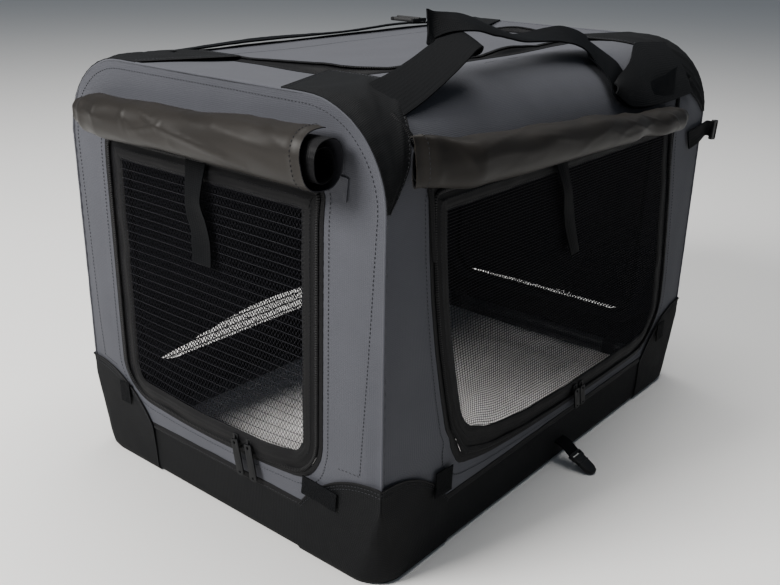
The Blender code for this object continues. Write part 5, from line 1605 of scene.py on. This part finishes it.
class MakeTieStraps(CrateOperator, bpy.types.Operator):
    """Hang the webbing ties on the outside of the two doors"""
    bl_idname = "travel_crate.make_tie_straps"
    bl_label = "Tie straps"

    def execute(self, context):
        left = [(0.0145, 0.476, 0.0005, 0), (0.0140, 0.455, 0.0030, 10), (0.0130, 0.430, 0.0062, 16),
                (0.0115, 0.408, 0.0052, 4), (0.0085, 0.392, 0.0030, -6), (0.0065, 0.372, 0.0034, -2),
                (0.0050, 0.349, 0.0052, 4)]
        front = [(-0.062, 0.476, 0.0005, 0), (-0.056, 0.455, 0.0034, 8), (-0.048, 0.432, 0.0060, 14),
                 (-0.041, 0.415, 0.0055, 10), (-0.031, 0.392, 0.0034, 4), (-0.020, 0.365, 0.0030, -5),
                 (-0.008, 0.333, 0.0050, -10)]
        for wall, table, half, plane, spread in (("left", left, 0.0185, SHELL_X, Vector((0, 1, 0))),
                                                 ("front", front, 0.014, SHELL_Y, Vector((1, 0, 0)))):
            frames = []
            for along, z, off, twist in table:
                angle = math.radians(twist)
                middle = spread * along + outward(wall) * (plane + 0.0030 + off) + RISE * z
                reach = spread * math.cos(angle) * half
                lean = outward(wall) * abs(math.sin(angle)) * half
                frames.append((middle - reach + lean, middle + reach - lean * 0.2))
            lay_ribbon(wall + "_door_tie", frames, 0.0016, 8, 0.0010, slot="webbing", body=wall + "_door",
                       replaces=[wall + "_tie_strap"], folded="cover")
        return {"FINISHED"}


def outline_plate(outline, holes, thickness, bevel=0.0006):
    """Flat moulded or cast shape with rounded edges, in its own XY plane, thickness up Z."""
    curve = bpy.data.curves.new("plate", "CURVE")
    curve.dimensions, curve.fill_mode = "2D", "BOTH"
    curve.extrude, curve.bevel_depth, curve.bevel_resolution = thickness / 2 - bevel, bevel, 2
    curve.offset = -bevel
    for points in [outline] + holes:
        spline = curve.splines.new("POLY")
        spline.points.add(len(points) - 1)
        for target, point in zip(spline.points, points):
            target.co = (point[0], point[1], 0.0, 1.0)
        spline.use_cyclic_u = True
    holder = bpy.data.objects.new("plate", curve)
    bpy.context.scene.collection.objects.link(holder)
    graph = bpy.context.evaluated_depsgraph_get()
    mesh = bpy.data.meshes.new_from_object(holder.evaluated_get(graph))
    bpy.data.objects.remove(holder, do_unlink=True)
    return weld(mesh)


class MakeZipSliders(CrateOperator, bpy.types.Operator):
    """Make the door zips' sliders with their long pulls"""
    bl_idname = "travel_crate.make_zip_sliders"
    bl_label = "Zip sliders"

    def execute(self, context):
        for node, wall, body, lean in (("front_door_slider", "front", "front_zip", 3),
                                       ("left_door_slider_front", "left", "left_zip_front", 7),
                                       ("left_door_slider_rear", "left", "left_zip_rear", 9)):
            low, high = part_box(node)
            axis = 0 if wall == "front" else 1
            along = (low[axis] + high[axis]) / 2
            top = high[2] - 0.004
            body_plate = rounded_outline((-0.0052, -0.0075), (0.0052, 0.0062), [0.0030, 0.0030, 0.0018, 0.0018])
            reach = -0.050 if wall == "left" else -0.036
            pull = rounded_outline((-0.0068, reach), (0.0068, 0.0), [0.0050, 0.0050, 0.0022, 0.0022])
            hole = rounded_outline((-0.0018, -0.0068), (0.0018, -0.0026), [0.0015] * 4)
            eye = rounded_outline((-0.0014, reach + 0.0030), (0.0014, reach + 0.0058), [0.0012] * 4)
            meshes = []
            # The long door's zip has two sliders that stand side by side
            for shift in ((0.0,) if wall == "left" else (-0.0085, 0.0085)):
                casting = outline_plate(body_plate, [], 0.0040)
                casting.transform(Matrix.Translation((shift, 0, 0.0022)))
                meshes.append(casting)
                arch = [Vector((shift, 0.0045 - 0.0018 * k, 0.0042 + 0.0016 * math.sin(math.pi * k / 5)))
                        for k in range(6)]
                bar = [(-0.0012, -0.0006), (0.0012, -0.0006), (0.0012, 0.0006), (-0.0012, 0.0006)]
                meshes.append(sweep(arch, [Vector((1, 0, 0))] * 6, [RISE] * 6, bar))
                tongue = outline_plate(pull, [hole[::-1], eye[::-1]], 0.0020, 0.0005)
                tongue.transform(Matrix.Rotation(math.radians(lean), 4, "Z"))
                tongue.transform(Matrix.Rotation(math.radians(-4), 4, "X"))
                tongue.transform(Matrix.Translation((shift, -0.0005, 0.0062)))
                meshes.append(tongue)
            mesh = merge_meshes(meshes)
            turn = Matrix(((1, 0, 0), (0, 0, -1), (0, 1, 0))).to_4x4()
            if wall == "left":
                turn = Matrix.Rotation(math.radians(-90), 4, "Z") @ turn
            out = outward(wall) * ((SHELL_Y if wall == "front" else SHELL_X) + 0.0006)
            spot = Vector((along, out.y, top)) if wall == "front" else Vector((out.x, along, top))
            mesh.transform(Matrix.Translation(spot) @ turn)
            add_piece(node + "_casting", mesh, [painted_zinc], "black_zinc", body, [node], "cover", 40)
        return {"FINISHED"}


class MakeClosure(CrateOperator, bpy.types.Operator):
    """Make the closure strap and its buckle tongue"""
    bl_idname = "travel_crate.make_closure"
    bl_label = "Closure"

    def execute(self, context):
        low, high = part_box("closure_strap")
        centre = (low[0] + high[0]) / 2
        root = Vector((centre, -(SHELL_Y + 0.0022), high[2] - 0.0008))
        tip = Vector((centre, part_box("closure_buckle")[0][1], 0.0032))
        run = tip - root
        reach = Vector((0.0125, 0, 0))
        frames = []
        for share, lift in ((0.0, 0.0), (0.10, 0.0022), (0.25, 0.0030), (0.40, 0.0014), (0.50, 0.0002)):
            middle = root + run * share + RISE * lift
            frames.append((middle - reach, middle + reach))
        lay_ribbon("closure_strap_webbing", frames, 0.0020, 6, 0.0004, slot="webbing", body="closure_tongue",
                   replaces=["closure_strap"])
        body = rounded_outline((-0.0135, -0.0045), (0.0135, 0.0075), [0.003, 0.003, 0.002, 0.002])
        slot = rounded_outline((-0.0108, 0.0012), (0.0108, 0.0044), [0.001] * 4)
        blade = [(-0.0122, -0.0030), (-0.0116, -0.0200), (-0.0104, -0.0270), (-0.0070, -0.0320),
                 (-0.0025, -0.0340)]
        blade += [(-x, y) for x, y in reversed(blade)]
        lip = rounded_outline((-0.0118, -0.0125), (0.0118, -0.0100), [0.0008] * 4)
        mesh = merge_meshes([outline_plate(body, [slot[::-1]], 0.0062, 0.0009),
                             outline_plate(blade, [], 0.0052, 0.0014), outline_plate(lip, [], 0.0064)])
        side_axis, forward = Vector((1, 0, 0)), -run.normalized()
        up = side_axis.cross(forward).normalized()
        turn = Matrix((side_axis, forward, up)).transposed().to_4x4()
        mesh.transform(Matrix.Translation(root + run * 0.555 + up * 0.0002) @ turn)
        add_piece("closure_tongue_moulding", mesh, [moulded_acetal], "black_plastic", "closure_tongue",
                  ["closure_buckle"], angle=40)
        return {"FINISHED"}


class MakeTabs(CrateOperator, bpy.types.Operator):
    """Make the hook-and-loop tabs and the strap tab with its buckle on the right corner"""
    bl_idname = "travel_crate.make_tabs"
    bl_label = "Tabs"

    def execute(self, context):
        for k, (wall, along, climb, width, height, lean) in enumerate((
                ("left", -0.181, 0.1035, 0.056, 0.025, 3), ("left", 0.2005, 0.1080, 0.022, 0.032, -3),
                ("front", -0.283, 0.1040, 0.034, 0.034, -4), ("front", 0.331, 0.1060, 0.026, 0.030, 2),
                ("left", -0.2130, 0.487, 0.018, 0.026, 6))):
            # The last one is a small grey tab beside the left roll
            sin, cos, is_last = math.sin(math.radians(lean)), math.cos(math.radians(lean)), k == 4

            def point(u, v):
                a, b = width * (u - 0.5), height * (v - 0.5)
                curl = 0.0012 * (1 - v) * (0.4 + noise.noise(Vector((u * 3, v * 3, k))))
                return on_cover(wall, along + a * cos - b * sin, climb + a * sin + b * cos,
                                (0.0014 if is_last else 0.0052) + curl)

            mesh = sheet_mesh(8, 8, point, lambda u, v: (u * width, v * height))
            add_piece("hook_tab_%d" % (k + 1), mesh, [grey_oxford if is_last else hook_tape], folded="cover",
                      thick=(0.0012, 0))
        frames = [((0.3560, -0.2790, 0.446), (0.3620, -0.2790, 0.417)),
                  ((0.3760, -0.2800, 0.450), (0.3820, -0.2800, 0.422)),
                  ((0.3960, -0.2785, 0.452), (0.4020, -0.2775, 0.427)),
                  ((0.4080, -0.2790, 0.4535), (0.4140, -0.2760, 0.4285)),
                  ((0.4190, -0.2830, 0.4510), (0.4240, -0.2790, 0.4260)),
                  ((0.4260, -0.2840, 0.4480), (0.4300, -0.2800, 0.4230))]
        lay_ribbon("corner_strap_tab", frames, 0.0020, 6, 0.0004, slot="webbing", folded="cover")
        outline = rounded_outline((-0.0060, -0.0160), (0.0110, 0.0160), [0.003] * 4)
        slot = rounded_outline((0.0035, -0.0120), (0.0075, 0.0120), [0.0012] * 4)
        mesh = outline_plate(outline, [slot[::-1]], 0.0060, 0.0010)
        turn = Matrix.Rotation(math.radians(8), 4, "Y") @ Matrix.Rotation(math.radians(90), 4, "X")
        mesh.transform(Matrix.Translation((0.4270, -0.2825, 0.4365)) @ turn)
        add_piece("corner_strap_buckle", mesh, [moulded_acetal], "black_plastic", folded="cover", angle=40)
        return {"FINISHED"}


class MakeFleeceMat(CrateOperator, bpy.types.Operator):
    """Fill the fleece mat by cloth simulation so that it swells between its seams"""
    bl_idname = "travel_crate.make_fleece_mat"
    bl_label = "Fleece mat"

    def execute(self, context):
        low, high = MAT_BOX
        half_x, half_y = high[0], high[1]
        thick = high[2] - low[2]

        def point(u, v, top):
            x, y = 2 * u - 1, 2 * v - 1
            draw_x, draw_y = 0.005 * (1 - y * y), 0.005 * (1 - x * x)
            crown = (1 - x ** 8) * (1 - y ** 8)
            level = low[2] + 0.0006 + (thick * (0.30 + 0.42 * crown) if top else 0.0)
            return Vector((x * (half_x - 0.004 - draw_x), y * (half_y - 0.004 - draw_y), level))

        upper = sheet_mesh(64, 44, lambda u, v: point(u, v, True))
        lower = sheet_mesh(64, 44, lambda u, v: point(u, v, False))
        bm = bmesh.new()
        bm.from_mesh(upper)
        bm.from_mesh(lower)
        rims = [e for e in bm.edges if e.is_boundary]
        bmesh.ops.bridge_loops(bm, edges=rims)
        bmesh.ops.recalc_face_normals(bm, faces=bm.faces)
        mesh = bpy.data.meshes.new("mat")
        bm.to_mesh(mesh)
        bm.free()
        bpy.data.meshes.remove(upper)
        bpy.data.meshes.remove(lower)
        mat = new_object("fleece_mat", mesh, [brushed_fleece])
        self.fill(context, mat)
        soft = mat.modifiers.new("soft", "SUBSURF")
        soft.levels = soft.render_levels = 1
        bake(mat)
        for vertex in mat.data.vertices:
            x, y, z = vertex.co
            vertex.co.x = min(max(x, -half_x), half_x)
            vertex.co.y = min(max(y, -half_y), half_y)
            vertex.co.z = min(max(z, low[2]), high[2] + 0.002)
            tuft = noise.noise(Vector((x * 34, y * 34, 1.0))) * 0.0012
            if vertex.co.z > low[2] + 0.004:
                vertex.co.z += tuft
            # The pad is cut a little large, so its rim is pushed up against the base ring
            vertex.co.z += 0.019 * smooth((max(abs(x) / half_x - 0.78, (abs(y) / half_y - 0.66) * 0.65)) / 0.22)
        shade(mat, 60)
        settle(mat, "crate_base", ["floor_mat"], "mat")
        return {"FINISHED"}

    def fill(self, context, mat):
        """Blow the mat up with a little pressure, cap how far each point moves, and keep the result."""
        voxels = mat.modifiers.new("voxels", "REMESH")
        voxels.mode, voxels.voxel_size = "VOXEL", 0.0055
        bake(mat)
        before = [v.co.copy() for v in mat.data.vertices]
        cloth = mat.modifiers.new("cloth", "CLOTH")
        cloth.settings.use_pressure = True
        cloth.settings.uniform_pressure_force = 4.0
        cloth.settings.effector_weights.gravity = 0.0
        cloth.settings.quality = 4
        cloth.point_cache.frame_start, cloth.point_cache.frame_end = 1, 20
        for number in range(1, 21):
            context.scene.frame_set(number)
        bake(mat)
        context.scene.frame_set(1)
        cap = sizes().mat_swell
        for vertex, start in zip(mat.data.vertices, before):
            move = vertex.co - start
            if move.length > cap:
                vertex.co = start + move.normalized() * cap


class FinishFrame(CrateOperator, bpy.types.Operator):
    """Give the frame, its clips, the rivets and the floor board their finishes"""
    bl_idname = "travel_crate.finish_frame"
    bl_label = "Frame finishes"

    def execute(self, context):
        makes = {"steel_tube": powder_coated_tube, "rivet_steel": zinc_plate, "black_plastic": moulded_acetal,
                 "floor_board": pressed_hardboard}
        slots = {row["node"]: row["material_slot"] for row in frame["record"]["subparts"]}
        for name, obj in frame["nodes"].items():
            make = makes.get(slots.get(name))
            if make:
                obj.data.materials.clear()
                obj.data.materials.append(finish(make))
        return {"FINISHED"}


class MakeStitching(CrateOperator, bpy.types.Operator):
    """Sew the noted rows: small raised stitches, one mesh for each body"""
    bl_idname = "travel_crate.make_stitching"
    bl_label = "Stitching"

    def execute(self, context):
        pitch, length = stitch_pitch(), sizes().stitch
        for number, ((body, folded), rows) in enumerate(sorted(STITCHES.items(), key=str)):
            points, faces = [], []
            for line, normals, closed in rows:
                line = [Vector(p) for p in line]
                walked, target = 0.0, pitch / 2
                pairs = list(zip(line, line[1:] + ([line[0]] if closed else []), normals))
                for a, b, up in pairs:
                    step = (b - a).length
                    while step > 1e-9 and walked + step >= target:
                        middle = a.lerp(b, (target - walked) / step)
                        ahead = (b - a).normalized()
                        side = ahead.cross(up).normalized()
                        first = len(points)
                        for along, across, high in ((-1, 0, -0.3), (-0.5, 1, 0), (0.5, 1, 0), (1, 0, -0.3),
                                                    (0.5, -1, 0), (-0.5, -1, 0), (-0.5, 0, 1), (0.5, 0, 1)):
                            points.append(middle + ahead * along * length / 2 + side * across * 0.00045
                                          + up * high * 0.00055)
                        for face in ((0, 1, 6), (1, 2, 7, 6), (2, 3, 7), (3, 4, 7), (4, 5, 6, 7), (5, 0, 6),
                                     (0, 5, 4, 3, 2, 1)):
                            faces.append(tuple(first + i for i in face))
                        target += pitch
                    walked += step
            mesh = bpy.data.meshes.new("stitches")
            mesh.from_pydata(points, [], faces)
            add_piece("stitches_%s_%d" % (body, number + 1), weld(mesh), [sewing_thread], "grey_fabric", body,
                      folded=folded, angle=None)
        return {"FINISHED"}


class MakeStage(CrateOperator, bpy.types.Operator):
    """Set the pale floor, the soft lights and the camera"""
    bl_idname = "travel_crate.make_stage"
    bl_label = "Stage"

    def execute(self, context):
        mesh = sheet_mesh(40, 40, lambda u, v: Vector(((u - 0.5) * 40, (v - 0.5) * 40, -0.0004)))
        new_object("studio_floor", mesh, [studio_floor])
        for name, spot, power, size in (("key", (-3.0, 1.1, 2.5), 280, 1.5), ("top", (0.3, 0.1, 3.6), 138, 2.4),
                                        ("fill", (-0.6, -3.4, 1.3), 2.5, 2.6)):
            light = bpy.data.lights.new(name, "AREA")
            light.energy, light.size = power, size
            light.color = (0.72, 0.84, 1.0) if name == "fill" else (1.0, 0.985, 0.96)
            lamp = bpy.data.objects.new(name + "_light", light)
            bpy.context.scene.collection.objects.link(lamp)
            lamp.location = spot
            aim = Vector((0, 0, 0.3)) - Vector(spot)
            lamp.rotation_euler = aim.to_track_quat("-Z", "Y").to_euler()
        world = bpy.data.worlds.new("soft_room")
        world.use_nodes = True
        world.node_tree.nodes["Background"].inputs["Color"].default_value = (0.77, 0.87, 1.0, 1.0)
        world.node_tree.nodes["Background"].inputs["Strength"].default_value = 0.185
        context.scene.world = world
        self.make_camera(context)
        return {"FINISHED"}

    def make_camera(self, context):
        """Camera at the photograph's angle and lens."""
        data = bpy.data.cameras.new("view")
        data.lens, data.sensor_width = 43.87, 36.0
        camera = bpy.data.objects.new("camera", data)
        context.scene.collection.objects.link(camera)
        az, el, roll = math.radians(-50.85), math.radians(21.53), math.radians(1.30)
        back = Vector((math.sin(az) * math.cos(el), -math.cos(az) * math.cos(el), math.sin(el)))
        right = Vector((math.cos(az), math.sin(az), 0))
        up = back.cross(right)
        across = right * math.cos(roll) + up * math.sin(roll)
        raised = up * math.cos(roll) - right * math.sin(roll)
        target, distance = Vector((0.00395, 0.04764, 0.18356)), 1.541
        aim = Matrix((across, raised, back)).transposed().to_4x4()
        camera.matrix_world = Matrix.Translation(target + back * distance) @ aim
        context.scene.camera = camera


MAKERS = (MakeBaseBand, MakeCornerGuards, MakeWallPanels, MakePiping, MakeRoof, MakeNets, MakeBindings,
          MakeRolledFlaps, MakeHangingFlaps, MakeCornerPatches, MakeCarryHandles, MakeTieStraps, MakeZipSliders,
          MakeClosure, MakeTabs, MakeFleeceMat, FinishFrame, MakeStitching, MakeStage)


class CratePanel(bpy.types.Panel):
    """Lists the sizes, the colours and the makers"""
    bl_idname = "VIEW3D_PT_travel_crate"
    bl_label = "Dog travel crate"
    bl_space_type = "VIEW_3D"
    bl_region_type = "UI"
    bl_category = "Travel crate"

    def draw(self, context):
        for group in (context.scene.travel_crate_sizes, context.scene.travel_crate_colours):
            box = self.layout.box()
            for name in group.bl_rna.properties.keys():
                if name not in ("rna_type", "name"):
                    box.prop(group, name)
        for maker in MAKERS:
            self.layout.operator(maker.bl_idname)


CLASSES = (CrateSizes, CrateColours) + MAKERS + (CratePanel,)


def register():
    """Register the classes and hang the settings on the scene."""
    for entry in CLASSES:
        bpy.utils.register_class(entry)
    bpy.types.Scene.travel_crate_sizes = bpy.props.PointerProperty(type=CrateSizes)
    bpy.types.Scene.travel_crate_colours = bpy.props.PointerProperty(type=CrateColours)


def unregister():
    """Take the settings and the classes away again."""
    del bpy.types.Scene.travel_crate_sizes
    del bpy.types.Scene.travel_crate_colours
    for entry in reversed(CLASSES):
        bpy.utils.unregister_class(entry)


def main():
    """Register the makers and make the whole crate."""
    register()
    for maker in MAKERS:
        group, name = maker.bl_idname.split(".")
        getattr(getattr(bpy.ops, group), name)()


if __name__ == "__main__":
    main()
